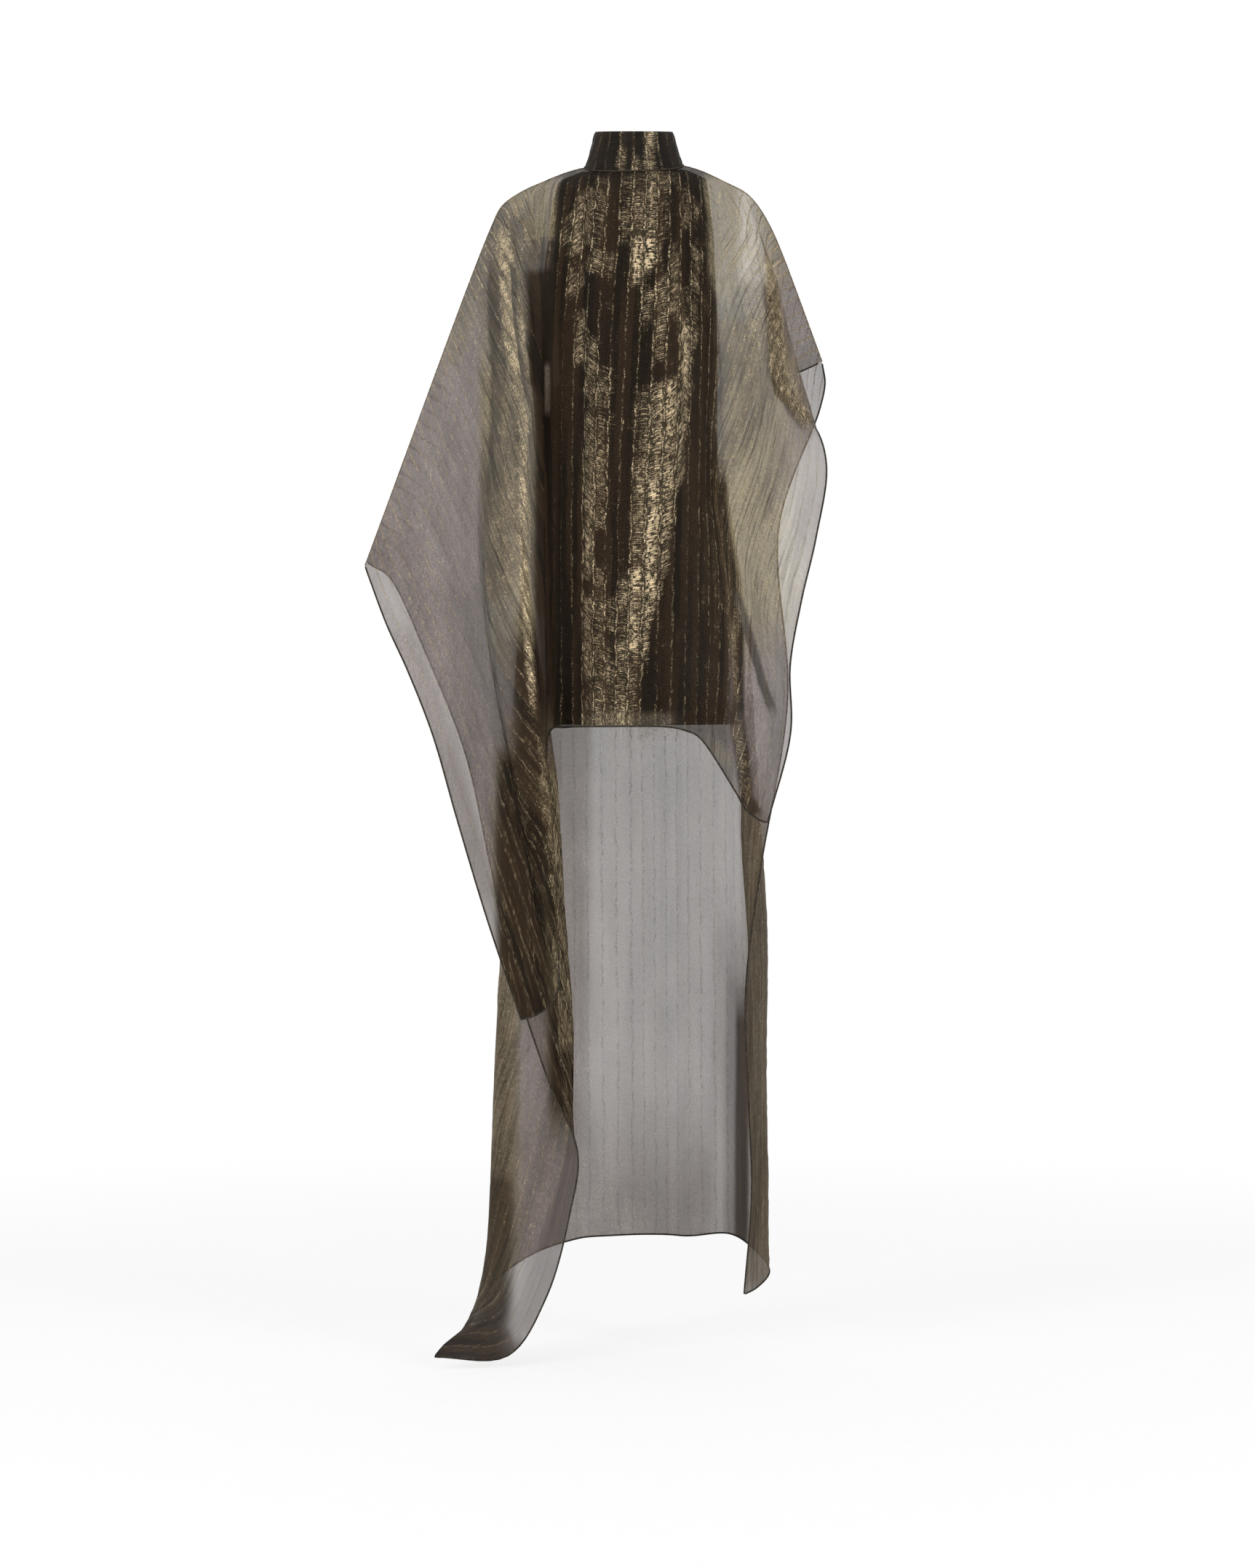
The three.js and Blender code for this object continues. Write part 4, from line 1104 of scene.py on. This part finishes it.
def sheer_material(name, sizes, colours):
    """Sheer crushed silk with gold thread, with painted highlights, sheen and shade from the sheet's
    fields.
    """
    n = Nodes(name)
    p = cloth_pattern(n, sizes.stripe)
    gleam, painted_sheen, density_and_shade, olive = (field(n, key) for key in ("gleam", "painted_sheen", "density_and_shade", "olive"))
    # Painted streaks of light and gold along the threads, where the olive tint is
    lit_streaks = n.times(p["threads"], olive)
    soft = n.larger(n.times(painted_sheen, 2.0, clamp=True), n.span(olive, 0.8, 1.0))
    gold = gold_threads(n, p, n.times_plus(lit_streaks, 3.6, gleam), soft=soft)
    # Silk: dark threads, and a painted sheen where light falls on it, shot with lilac or olive
    streak = weave(n, "streak", p["u"], p["v"])
    shine = n.times_plus(p["fibre"], 0.32, 0.33)
    shine = n.times(shine, n.span(weave(n, "cloud", p["u"], p["v"]), 0.25, 0.75, 0.72, 1.18))
    shine = n.times(shine, n.span(streak, 0.32, 0.68, 0.91, 1.10))
    shine = n.times(shine, n.times_plus(lit_streaks, 4.2, 1.0))
    level = n.times(painted_sheen, shine, clamp=True)
    silk = n.blend(level, n.blend(p["tone"], colours.thread, colours.brown),
                   n.blend(olive, colours.lilac, colours.olive))
    # How much of the view the cloth hides: more on fibres and on gold, and more where painted shade
    # darkens it
    cover = colours.cover
    for part, weight in (
        (n.minus(p["fibre"]), 0.10), (n.minus(p["fine"]), 0.20), (n.minus(streak), -0.07),
        (lit_streaks, -0.8), (p["pin"], 0.16),
    ):
        cover = n.times_plus(part, weight, cover)
    cover = n.times_plus(gold, 0.2, cover, clamp=True)
    # Painted shade: the field brings the cover up towards nearly opaque, and lowers it where below 0
    cover = n.times_plus(n.minus(0.99, cover), density_and_shade, cover, clamp=True)
    face = n.cloth(
        n.blend(gold, silk, metal(n, p, gleam, colours)),
        n.span(gold, 0.0, 1.0, SILK_ROUGH, GOLD_ROUGH, False),
        n.bumps(n.times_plus(p["clump"], 1.2, relief(n, p, 0.5, 0.6)), *CRUSH_BUMP),
        0.12, n.times(gold, METAL_SHARE))
    glow = n.add("ShaderNodeBsdfTranslucent", {"Color": silk}).outputs[0]
    through = n.times(n.minus(1.0, gold), SILK_GLOW)
    thick = n.add("ShaderNodeMixShader", {0: through, 1: face, 2: glow})
    clear = n.add("ShaderNodeBsdfTransparent")
    out = n.add("ShaderNodeMixShader", {0: cover, 1: clear.outputs[0], 2: thick.outputs[0]})
    return n.finish(out.outputs[0])


def tinted(colour, factor):
    """A colour, made lighter or darker."""
    return tuple(factor * c for c in colour)


def lining_material(name, sizes, colours):
    """The opaque dark cloth of the underdress."""
    n = Nodes(name)
    u, v, turns = stripes(n, sizes.stripe)
    fine = weave(n, "fine", u, v)
    base = n.blend(thread_tone(n, v, turns), colours.slip, colours.slip_warm)
    base = n.blend(n.times(fine, 0.25), base, tinted(colours.slip, 1.5))
    height = n.times_plus(fine, 0.5, weave(n, "broken", u, v))
    return n.finish(n.cloth(base, n.span(fine, 0.3, 0.7, 0.55, 0.72, False),
                            n.bumps(height, 0.3, 0.0004), 0.15))


def collar_material(name, sizes, colours):
    """The panels' cloth over an opaque dark interfacing."""
    n = Nodes(name)
    p = cloth_pattern(n, sizes.stripe * COLLAR_STRIPE)
    gleam = field(n, "gleam")
    gold = gold_threads(n, p, gleam, 0.8)
    silk = n.blend(p["tone"], tinted(colours.slip, 0.8), tinted(colours.slip_warm, 1.1))
    return n.finish(n.cloth(
        n.blend(gold, silk, metal(n, p, gleam, colours)),
        n.span(gold, 0.0, 1.0, 0.6, GOLD_ROUGH, False),
        n.bumps(relief(n, p, 0.6, 0.5), *CRUSH_BUMP),
        0.1, n.times(gold, METAL_SHARE)))


def thread_material(name, tint, gold, gold_share):
    """Twisted sewing thread, with a little metal thread in it."""
    n = Nodes(name)
    place = n.add("ShaderNodeTexCoord").outputs["Object"]
    twist = n.noise(place, 900.0, 1.0)
    slub = n.noise(place, 160.0, 2.0)
    mix = n.times(n.span(twist, 0.52, 0.66), gold_share)
    base = n.blend(n.span(slub, 0.35, 0.7), tuple(tint), tinted(tint, 0.6))
    return n.finish(n.cloth(n.blend(mix, base, tuple(gold)), n.span(slub, 0.3, 0.7, 0.55, 0.8, False),
                            n.bumps(twist, 0.5, 0.0005), 0.2, mix))


# ---- Sheer panels ----
EDGE_STRIPE = 60  # number of the stripe at the right edge of the front panel
FRONT_SEAM_SHARE, BACK_SEAM_SHARE = 1 / 3, 1
BACK_COARSENESS = 1.4
CALM = 0.012  # how far from a seam the crush of the cloth is full, in metres
RIM_CALM = 0.004  # the same for a hem
HEM_START = 0.004  # length of each edge next to the arm seam that the hem leaves bare, in metres
HEM_STEP, TRIM_STEP, SLIP_HEM_STEP = 0.0045, 0.004, 0.005  # from ring to ring of thin trim
WAVER = 0.003  # how far a warp line strays in the mesh, in metres
RIPPLE_STEP, BROAD_STEP = 0.0085, 0.02  # from one cross ripple to the next, narrow and broad
SLOW_WAVE = 0.0010  # height of the soft waves under the crush


def crush(net, width, drop, sizes, calm):
    """Raises the cloth between its warp lines, and crushes it into small cross ripples."""
    turns = (width + WAVER * grain(width * 9, drop * 14, 5)) / sizes.stripe
    stripe = np.floor(turns)
    across = turns - stripe
    arch = 4 * across * (1 - across)
    ripple = grain(stripe * 3.7 + across, drop / RIPPLE_STEP, 11)
    ripple += 0.5 * grain(stripe * 1.3, drop / BROAD_STEP, 12)
    slow = SLOW_WAVE * grain(width / 0.045, drop / 0.13, 21)
    lift = (sizes.puff * arch**0.6 + sizes.ripple * ripple * arch + slow) * calm
    return net + normals(net) * lift[..., None]


def panel_stations(lines, sizes, coarseness):
    """The mesh's rows, as shares of its fold lines, and its columns, as shares of its width."""
    at = np.linspace(0, 1, 200)
    rails = np.array([smooth(line, at) for line in lines]) * MM
    count, runs = len(lines[0]) - 1, len(lines) - 1
    parts = np.linspace(0, 1, count + 1)
    down, across = [0.0], [0.0]
    for k in range(count):
        stretch = rails[:, (at >= parts[k]) & (at <= parts[k + 1] + 1 / len(at))]
        longest = np.linalg.norm(np.diff(stretch, axis=1), axis=2).sum(1)
        n = max(2, math.ceil(np.quantile(longest, 0.7) / (sizes.row * coarseness)))
        down += [parts[k] + (parts[k + 1] - parts[k]) * i / n for i in range(1, n + 1)]
    for k in range(runs):
        widest = np.linalg.norm(rails[k + 1] - rails[k], axis=1)
        n = max(2, math.ceil(np.quantile(widest, 0.8) / (sizes.column * coarseness)))
        across += [(k + i / n) / runs for i in range(1, n + 1)]
    return np.array(down), np.array(across)


def sew_panel(name, lines, side, seams, centre, seam_share, strokes, creases, coarseness, scene):
    """A panel from its fold lines. seams and centre are numbers of fold lines: those at the
    borders of the body, and the one down its middle. seam_share is the part of a line's first
    stretch over which the cloth runs straight out of the arm seam, and coarseness says how much
    longer the mesh's steps are than the sizes say."""
    sizes = scene.kaftan_sizes
    down, across = panel_stations(lines, sizes, coarseness)
    net = cloth_net(lines, down, across, side, seam_share / (len(lines[0]) - 1)) * MM
    along, drop = running(net, 1), running(net, 0)
    rails = across * (len(lines) - 1)
    *seams, middle = (int(np.argmin(np.abs(rails - index))) for index in (*seams, centre))
    # The body's warp lines lean, and the middle stripe starts half a stripe left of the middle
    facing = -side
    x, z = facing * net[..., 0] / MM, net[..., 2] / MM
    centred = along - along[:, middle : middle + 1] - facing * MM * lean(x, z)
    maps = [along, centred + (MIDDLE_STRIPE + 0.5) * sizes.stripe]
    if len(seams) > 1:
        maps.append(along - along[:, -1:] + EDGE_STRIPE * sizes.stripe)
    # Each place takes the width of its own run, and the crush dies away at the runs' borders
    run = np.searchsorted([0, *seams], np.arange(net.shape[1]), side="right") - 1
    width = np.choose(run[None, :], maps)
    calm = np.ones(net.shape[:2])
    for s in seams:
        calm *= unit(np.abs(along - along[:, s : s + 1]) / CALM)
    calm *= np.clip(drop / CALM, 0.1, 1)
    calm *= unit(np.minimum(along, along[:, -1:] - along) / RIM_CALM)
    calm *= unit((drop[-1:] - drop) / RIM_CALM)
    # The painted highlights, sheen and shade and the olive tint, from the strokes
    fields = {key: brushed(net, rails, rows) for key, rows in strokes.items()}
    # The body's chart of painted glints joins the painted highlight field
    gold = np.where((run == 1)[None, :], body_glints(width / sizes.stripe, facing * x, z, facing), 0)
    fields["gleam"] += np.maximum(gold - fields["gleam"], 0) * unit(4 * gold)
    net = crush(creased(net, rails, creases), width, drop, sizes, calm)
    material = bpy.data.materials.get("sheer_lame") or sheer_material(
        "sheer_lame", sizes, scene.kaftan_colours)
    return sheet_object(name, net, maps, seams, material, fields), net


def hem_of(name, net, scene):
    """A rolled hem down the panel's left edge, along its foot and up its right edge."""
    drops = running(net, 0)
    left, right = (int(np.searchsorted(drops[:, column], HEM_START)) for column in (0, -1))
    edge = [*net[left:, 0], *net[-1, 1:], *net[right:-1, -1][::-1]]
    colours = scene.kaftan_colours
    material = bpy.data.materials.get("hem_thread") or thread_material(
        "hem_thread", colours.hem, colours.gold, 0.1)
    return tube(name, even_path(edge, HEM_STEP), scene.kaftan_sizes.hem / 2, material)


def ready(nodes):
    """Raises an error where the frame lacks a solid that the piece stands for."""
    for node in nodes:
        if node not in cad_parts:
            raise RuntimeError(f"the frame has no {node}")


class KAFTAN_OT_front(bpy.types.Operator):
    """Sew the short sheer front panel, its folds and its rolled hem"""

    bl_idname = "kaftan.front"
    bl_label = "Front panel"

    def execute(self, context):
        ready(["front_panel"])
        lines = [
            *(long_fold(line, -1) for line in FRONT_LEFT),
            *(front_body_line(line) for line in FRONT_BODY),
            *(long_fold(line, -1) for line in FRONT_RIGHT),
        ]
        first = len(FRONT_LEFT)
        seams = (first - 1, first + len(FRONT_BODY))
        panel, net = sew_panel("front_panel_sheer", lines, -1, seams, first + MIDDLE_LINE,
                               FRONT_SEAM_SHARE, FRONT_PAINTED_LIGHT, FRONT_CREASES, 1.0, context.scene)
        hem = hem_of("front_hem", net, context.scene)
        for piece in (panel, hem):
            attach(piece, "root")
        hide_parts("front_panel")
        return {"FINISHED"}


class KAFTAN_OT_back(bpy.types.Operator):
    """Sew the floor-length sheer back panel, its folds and its rolled hem"""

    bl_idname = "kaftan.back"
    bl_label = "Back panel"

    def execute(self, context):
        ready(["back_panel"])
        lines = [
            *(long_fold(line, 1) for line in BACK_LEFT),
            *(back_body_line(line) for line in BACK_BODY),
            *(hanging_fold(line) for line in BACK_RIGHT),
        ]
        first = len(BACK_LEFT)
        panel, net = sew_panel("back_panel_sheer", lines, 1, (first - 2,), first + MIDDLE_LINE,
                               BACK_SEAM_SHARE, BACK_PAINTED_LIGHT, BACK_CREASES, BACK_COARSENESS,
                               context.scene)
        hem = hem_of("back_hem", net, context.scene)
        for piece in (panel, hem):
            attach(piece, "root")
        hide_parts("back_panel")
        return {"FINISHED"}


# ---- Underdress ----
SLIP_COLUMNS = 121
SLIP_TOP_SHARE, SLIP_TOP_ROWS, SLIP_ROWS = 0.2, 40, 110  # the closer rows at its top, and the rest
SLIP_CALM = 0.02  # how far from an edge the soft waves of the underdress are full, in metres
SLIP_WAVE, SLIP_TUCK = 0.0012, 0.0008  # height of those waves, and how far it all lies back
SLIP_LEAST_DEPTH = 0.4  # each half stays at least this far from the middle, in millimetres


def slip_net(side):
    """The points of one half of the underdress, from its neck and armholes down to its hem."""
    left, right = section_at(0)[:2]
    xs, zs = np.array(ARMHOLE, float).T
    turn = np.linspace(-math.pi / 2, math.pi / 2, SLIP_COLUMNS)
    tops = (left + right) / 2 + (right - left) / 2 * np.sin(turn)
    shares = np.concatenate([np.linspace(0, SLIP_TOP_SHARE, SLIP_TOP_ROWS)[:-1],
                             np.linspace(SLIP_TOP_SHARE, 1, SLIP_ROWS)])
    net = np.empty((len(shares), len(tops), 3))
    for j, top in enumerate(tops):
        share = (top - left) / (right - left)
        edge = neck_point(top, side)[2] if abs(top) < NECK_HALF_WIDTH else np.interp(top, xs, zs)
        outward = min(1.0, abs(top) / NECK_HALF_WIDTH) ** 2
        lowered = SLIP_DROP + SLIP_SHOULDER_DROP * outward
        for i, s in enumerate(shares):
            z = (edge - lowered) * (1 - s) + SLIP_HEM * s
            l, r = section_at(z)[:2]
            x = l + (r - l) * share
            depth = max(SLIP_LEAST_DEPTH, side * body_depth(x, z, side, 0, lowered))
            net[i, j] = x, side * depth, z
    return net * MM


class KAFTAN_OT_underdress(bpy.types.Operator):
    """Sew the opaque underdress with its halter armholes"""

    bl_idname = "kaftan.underdress"
    bl_label = "Underdress"

    def execute(self, context):
        ready(["slip_front", "slip_back"])
        scene = context.scene
        sizes, colours = scene.kaftan_sizes, scene.kaftan_colours
        material = lining_material("underdress_cloth", sizes, colours)
        thread = thread_material("underdress_binding", colours.slip, colours.gold, 0.05)
        for name, side in (("slip_front", -1), ("slip_back", 1)):
            net = slip_net(side)
            along, drop = running(net, 1), running(net, 0)
            middle = net.shape[1] // 2
            width = along - along[:, middle : middle + 1] + MIDDLE_STRIPE * sizes.stripe
            calm = unit(np.minimum(drop, drop[-1:] - drop) / SLIP_CALM)
            calm *= unit(np.minimum(along, along[:, -1:] - along) / SLIP_CALM)
            lift = (SLIP_WAVE * grain(width / 0.05, drop / 0.16, 31) - SLIP_TUCK) * calm
            net = net + normals(net) * (lift * -side)[..., None]
            cloth = sheet_object(name + "_cloth", net, [width], [], material)
            binding = tube(name + "_binding", even_path(net[0], TRIM_STEP), sizes.binding / 2, thread)
            hem = tube(name + "_hem", even_path(net[-1], SLIP_HEM_STEP), sizes.binding / 2, thread)
            for piece in (cloth, binding, hem):
                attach(piece, "root")
            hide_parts(name)
        return {"FINISHED"}


# ---- Collar ----
COLLAR_SIDES, COLLAR_ROWS = 240, 34
COLLAR_SET_BACK = 0.0006  # how far the bare face lies inside its rings, in metres
COLLAR_PUFF, COLLAR_RIPPLE = 0.0005, 0.0004  # height of its stripes, and of the crush on them
WELD = 0.00005


def collar_wall():
    """The outer face of the collar, from its top edge down to the neck seam."""
    rings = np.array(COLLAR_RINGS, float)
    up = np.linspace(0, 1, COLLAR_ROWS)
    rise, half, front = smooth(rings[:, :3], up).T
    back = smooth(rings[:, [0, 1, 3]], up)[:, 2]
    high = np.arange(COLLAR_ROWS) / (COLLAR_ROWS - 1)
    wall = np.empty((COLLAR_ROWS, COLLAR_SIDES + 1, 3))
    for j, angle in enumerate(np.linspace(0, 2 * math.pi, COLLAR_SIDES + 1) + math.pi / 2):
        side = -1 if math.sin(angle) < 0 else 1
        seam = neck_point(NECK_HALF_WIDTH * math.cos(angle), side)[2]
        wall[:, j, 0] = (half + COLLAR_WALL / 2) * math.cos(angle)
        wall[:, j, 1] = ((front if side < 0 else back) + COLLAR_WALL / 2) * math.sin(angle)
        dip = COLLAR_DIP * high * max(0.0, -math.sin(angle))
        wall[:, j, 2] = rise + (seam * (1 - high) - dip)
    return wall[::-1] * MM


def collar_glow(face):
    """Painted gold highlights on the collar: three upright bands at its front, and a little behind."""
    x, z = face[..., 0] / MM, face[..., 2] / MM

    def band(middle, half):
        return np.exp(-(((x - middle) / half) ** 2))

    glow = np.maximum(1.1 * band(23, 10), 0.95 * np.clip(1.2 - z / 40, 0.35, 1) * band(-17, 9))
    glow = np.maximum(glow, 0.9 * band(3, 9) * np.clip(0.9 - z / 22, 0.1, 1))
    return np.where(face[..., 1] < 0, 1.15 * glow - 0.16, 0.3)


class KAFTAN_OT_collar(bpy.types.Operator):
    """Sew the stand collar and the gathered seam that joins it to the neck"""

    bl_idname = "kaftan.collar"
    bl_label = "Collar"

    def execute(self, context):
        ready(["collar"])
        scene = context.scene
        sizes, colours = scene.kaftan_sizes, scene.kaftan_colours
        outer = collar_wall()
        width, drop = running(outer, 1), running(outer, 0)
        turns = width / (sizes.stripe * COLLAR_STRIPE)
        across = turns - np.floor(turns)
        hump = 4 * across * (1 - across)
        ripple = COLLAR_RIPPLE * grain(np.floor(turns) * 3.7, drop / 0.006, 41)
        rim = unit(np.minimum(drop, drop[-1:] - drop) / RIM_CALM)
        lift = (COLLAR_PUFF * hump + ripple * hump) * rim
        out = normals(outer)
        out *= np.sign((out * outer * (1, 1, 0)).sum(2, keepdims=True))
        face = outer + out * (lift - COLLAR_SET_BACK)[..., None]
        inner = outer - out * (COLLAR_WALL * MM)
        # The top turns over in a soft edge, and the inside runs back down to the seam
        lip = (face[:1] + inner[:1]) / 2 + np.array([0, 0, COLLAR_SET_BACK])
        net = np.concatenate([face[::-1], lip, inner])
        # Painted gold highlights: bands outside, none inside
        glow = collar_glow(face)
        glow = np.concatenate([glow[::-1], glow[:1], 0 * glow])
        middle = width.mean(0) - width.mean(0)[COLLAR_SIDES // 2] + MIDDLE_STRIPE * sizes.stripe
        around = np.tile(middle, (len(net), 1))
        material = collar_material("collar_cloth", sizes, colours)
        collar = sheet_object("collar_band", net, [around], [], material, {"gleam": glow})
        weld(collar, WELD)
        # The seam lies in the thickness of the wall, a hair above its foot
        foot, inside = outer[-1, :-1], inner[-1, :-1]
        seam_path = foot + 0.3 * (inside - foot) + np.array([0, 0, 0.0003])

        def gathers(k, angle):
            return 1 + 0.22 * math.sin(k * 2.1 + 2 * angle) + 0.12 * math.sin(k * 0.83)

        thread = thread_material("neck_seam_cloth", colours.thread, colours.gold, 0.1)
        seam = tube("neck_seam", seam_path, sizes.neck_seam / 2, thread, closed=True, ruffle=gathers)
        for piece in (collar, seam):
            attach(piece, "root")
        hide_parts("collar")
        # The collar is cut double, and folded along its top edge
        return {"FINISHED"}


# ---- Shoulder seams ----
# Where along the arm line each seam starts and ends, in millimetres
SHOULDER_SEAMS = (("left_shoulder_seam", -395, -73), ("right_shoulder_seam", 73, 279))


class KAFTAN_OT_seams(bpy.types.Operator):
    """Sew the seams that join the two panels along the shoulders and arms"""

    bl_idname = "kaftan.seams"
    bl_label = "Shoulder seams"

    def execute(self, context):
        scene = context.scene
        thread = thread_material("seam_thread", SEAM_TINT, scene.kaftan_colours.gold, 0.6)
        for name, low, high in SHOULDER_SEAMS:
            path = np.array([arm_point(x, 0) for x in np.linspace(low, high, 400)]) * MM
            seam = tube(name, even_path(path, TRIM_STEP), scene.kaftan_sizes.seam / 2, thread)
            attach(seam, "root")
        return {"FINISHED"}


# ---- Stage ----
CAMERA_PLACE = (-0.0097, -5.0, -0.9137)
VIEW_WIDTH = 1.863  # width of the view at the dress
SENSOR_WIDTH = 36.0  # in millimetres
FLOOR_REACH = 9.0  # radius of the floor
FLOOR_RINGS, FLOOR_SPOKES = 24, 64
FADE_START, FADE_END = 1.9, 3.4  # where the floor starts to fade into the room, and has done so
WHITE = (1.0, 1.0, 1.0)
# name, place, what it points at, width and height, in metres
SOFTBOXES = (
    ("left_softbox", (-2.9, -2.9, -0.1), (0, 0, -0.7), (1.0, 2.6)),
    ("right_softbox", (3.0, -2.7, 0.0), (0, 0, -0.7), (1.0, 2.6)),
    ("top_softbox", (0, -0.9, 2.2), (0, 0, -0.3), (2.2, 1.6)),
)


class KAFTAN_OT_stage(bpy.types.Operator):
    """Set up the floor, the soft lights, the room and the camera"""

    bl_idname = "kaftan.stage"
    bl_label = "Stage"

    def execute(self, context):
        scene = context.scene
        stage = scene.kaftan_stage
        self.floor(stage)
        self.room(scene, stage)
        self.lights(scene, (stage.left_light, stage.right_light, stage.top_light))
        data = bpy.data.cameras.new("camera")
        data.sensor_fit = "HORIZONTAL"
        data.sensor_width = SENSOR_WIDTH
        data.lens = SENSOR_WIDTH * abs(CAMERA_PLACE[1]) / VIEW_WIDTH
        data.clip_end = 100.0
        camera = bpy.data.objects.new("camera", data)
        camera.location = CAMERA_PLACE
        camera.rotation_euler = (math.pi / 2, 0, 0)
        scene.collection.objects.link(camera)
        scene.camera = camera
        scene.view_settings.view_transform = "Standard"
        return {"FINISHED"}

    def floor(self, stage):
        """A disc that fades into the white room away from the dress."""
        level = CAD_BOX[0][2] - stage.floor_gap
        vertices = [(0, 0, level)]
        for k in range(1, FLOOR_RINGS + 1):
            radius = FLOOR_REACH * (k / FLOOR_RINGS) ** 1.5
            for s in range(FLOOR_SPOKES):
                a = 2 * math.pi * s / FLOOR_SPOKES
                vertices.append((radius * math.cos(a), radius * math.sin(a), level))
        faces = [(0, 1 + s, 1 + (s + 1) % FLOOR_SPOKES) for s in range(FLOOR_SPOKES)]
        for k in range(FLOOR_RINGS - 1):
            ring = 1 + k * FLOOR_SPOKES
            for s in range(FLOOR_SPOKES):
                a, b = ring + s, ring + (s + 1) % FLOOR_SPOKES
                faces.append((a, b, b + FLOOR_SPOKES, a + FLOOR_SPOKES)[::-1])
        n = Nodes("floor")
        place = n.add("ShaderNodeTexCoord").outputs["Object"]
        far = n.add("ShaderNodeVectorMath", {0: place}, operation="LENGTH").outputs["Value"]
        seen = n.add("ShaderNodeLightPath").outputs["Is Camera Ray"]
        fade = n.span(far, FADE_START, FADE_END, 0.78, 1.0)
        tooth = n.span(n.noise(place, 60.0, 3.0), 0.3, 0.7)
        tint = n.blend(tooth, tuple(stage.floor), tinted(stage.floor, 0.97))
        matt = n.add("ShaderNodeBsdfPrincipled", {"Base Color": tint, "Roughness": 0.8})
        light = n.add("ShaderNodeEmission", {"Color": WHITE, "Strength": 1.0})
        mix = n.add("ShaderNodeMixShader", {
            0: n.times(fade, seen), 1: matt.outputs[0], 2: light.outputs[0]})
        new_object("floor", vertices, faces, n.finish(mix.outputs[0]))

    def room(self, scene, stage):
        """A light room that is brighter behind the dress, and white where the camera sees it."""
        n = Nodes("room", "worlds")
        place = n.add("ShaderNodeTexCoord").outputs["Generated"]
        depth = n.add("ShaderNodeSeparateXYZ", {0: place}).outputs["Y"]
        glow = n.span(depth, -0.1, 0.6, stage.front_glow, stage.back_glow)
        seen = n.add("ShaderNodeLightPath").outputs["Is Camera Ray"]
        strength = n.add("ShaderNodeMix", {"Factor": seen, "A": glow, "B": 1.0}).outputs["Result"]
        back = n.add("ShaderNodeBackground", {"Color": WHITE, "Strength": strength})
        scene.world = n.finish(back.outputs[0], "ShaderNodeOutputWorld")

    def lights(self, scene, powers):
        for (name, place, aim, size), power in zip(SOFTBOXES, powers):
            data = bpy.data.lights.new(name, "AREA")
            data.shape = "RECTANGLE"
            data.size, data.size_y = size
            data.energy = power
            light = bpy.data.objects.new(name, data)
            light.location = place
            d = np.array(aim, float) - np.array(place, float)
            pitch = math.atan2(math.hypot(d[0], d[1]), -d[2])
            light.rotation_euler = (pitch, 0, math.pi + math.atan2(d[0], -d[1]))
            scene.collection.objects.link(light)


class KAFTAN_PT_pieces(bpy.types.Panel):
    """Lists the steps that sew the kaftan"""

    bl_idname = "KAFTAN_PT_pieces"
    bl_label = "Sheer kaftan"
    bl_space_type = "VIEW_3D"
    bl_region_type = "UI"
    bl_category = "Kaftan"

    def draw(self, context):
        for step in STEPS:
            self.layout.operator("kaftan." + step)
        for group in GROUPS:
            settings = getattr(context.scene, group)
            for key in settings.__annotations__:
                self.layout.prop(settings, key)


STEPS = ("stage", "collar", "underdress", "front", "back", "seams")
GROUPS = {"kaftan_sizes": KaftanSizes, "kaftan_colours": KaftanColours, "kaftan_stage": KaftanStage}
CLASSES = (
    *GROUPS.values(),
    KAFTAN_OT_stage,
    KAFTAN_OT_collar,
    KAFTAN_OT_underdress,
    KAFTAN_OT_front,
    KAFTAN_OT_back,
    KAFTAN_OT_seams,
    KAFTAN_PT_pieces,
)


def register():
    for cls in CLASSES:
        bpy.utils.register_class(cls)
    for name, group in GROUPS.items():
        setattr(bpy.types.Scene, name, bpy.props.PointerProperty(type=group))


def unregister():
    for name in GROUPS:
        delattr(bpy.types.Scene, name)
    for cls in reversed(CLASSES):
        bpy.utils.unregister_class(cls)


def main():
    register()
    for step in STEPS:
        getattr(bpy.ops.kaftan, step)()


if __name__ == "__main__":
    main()
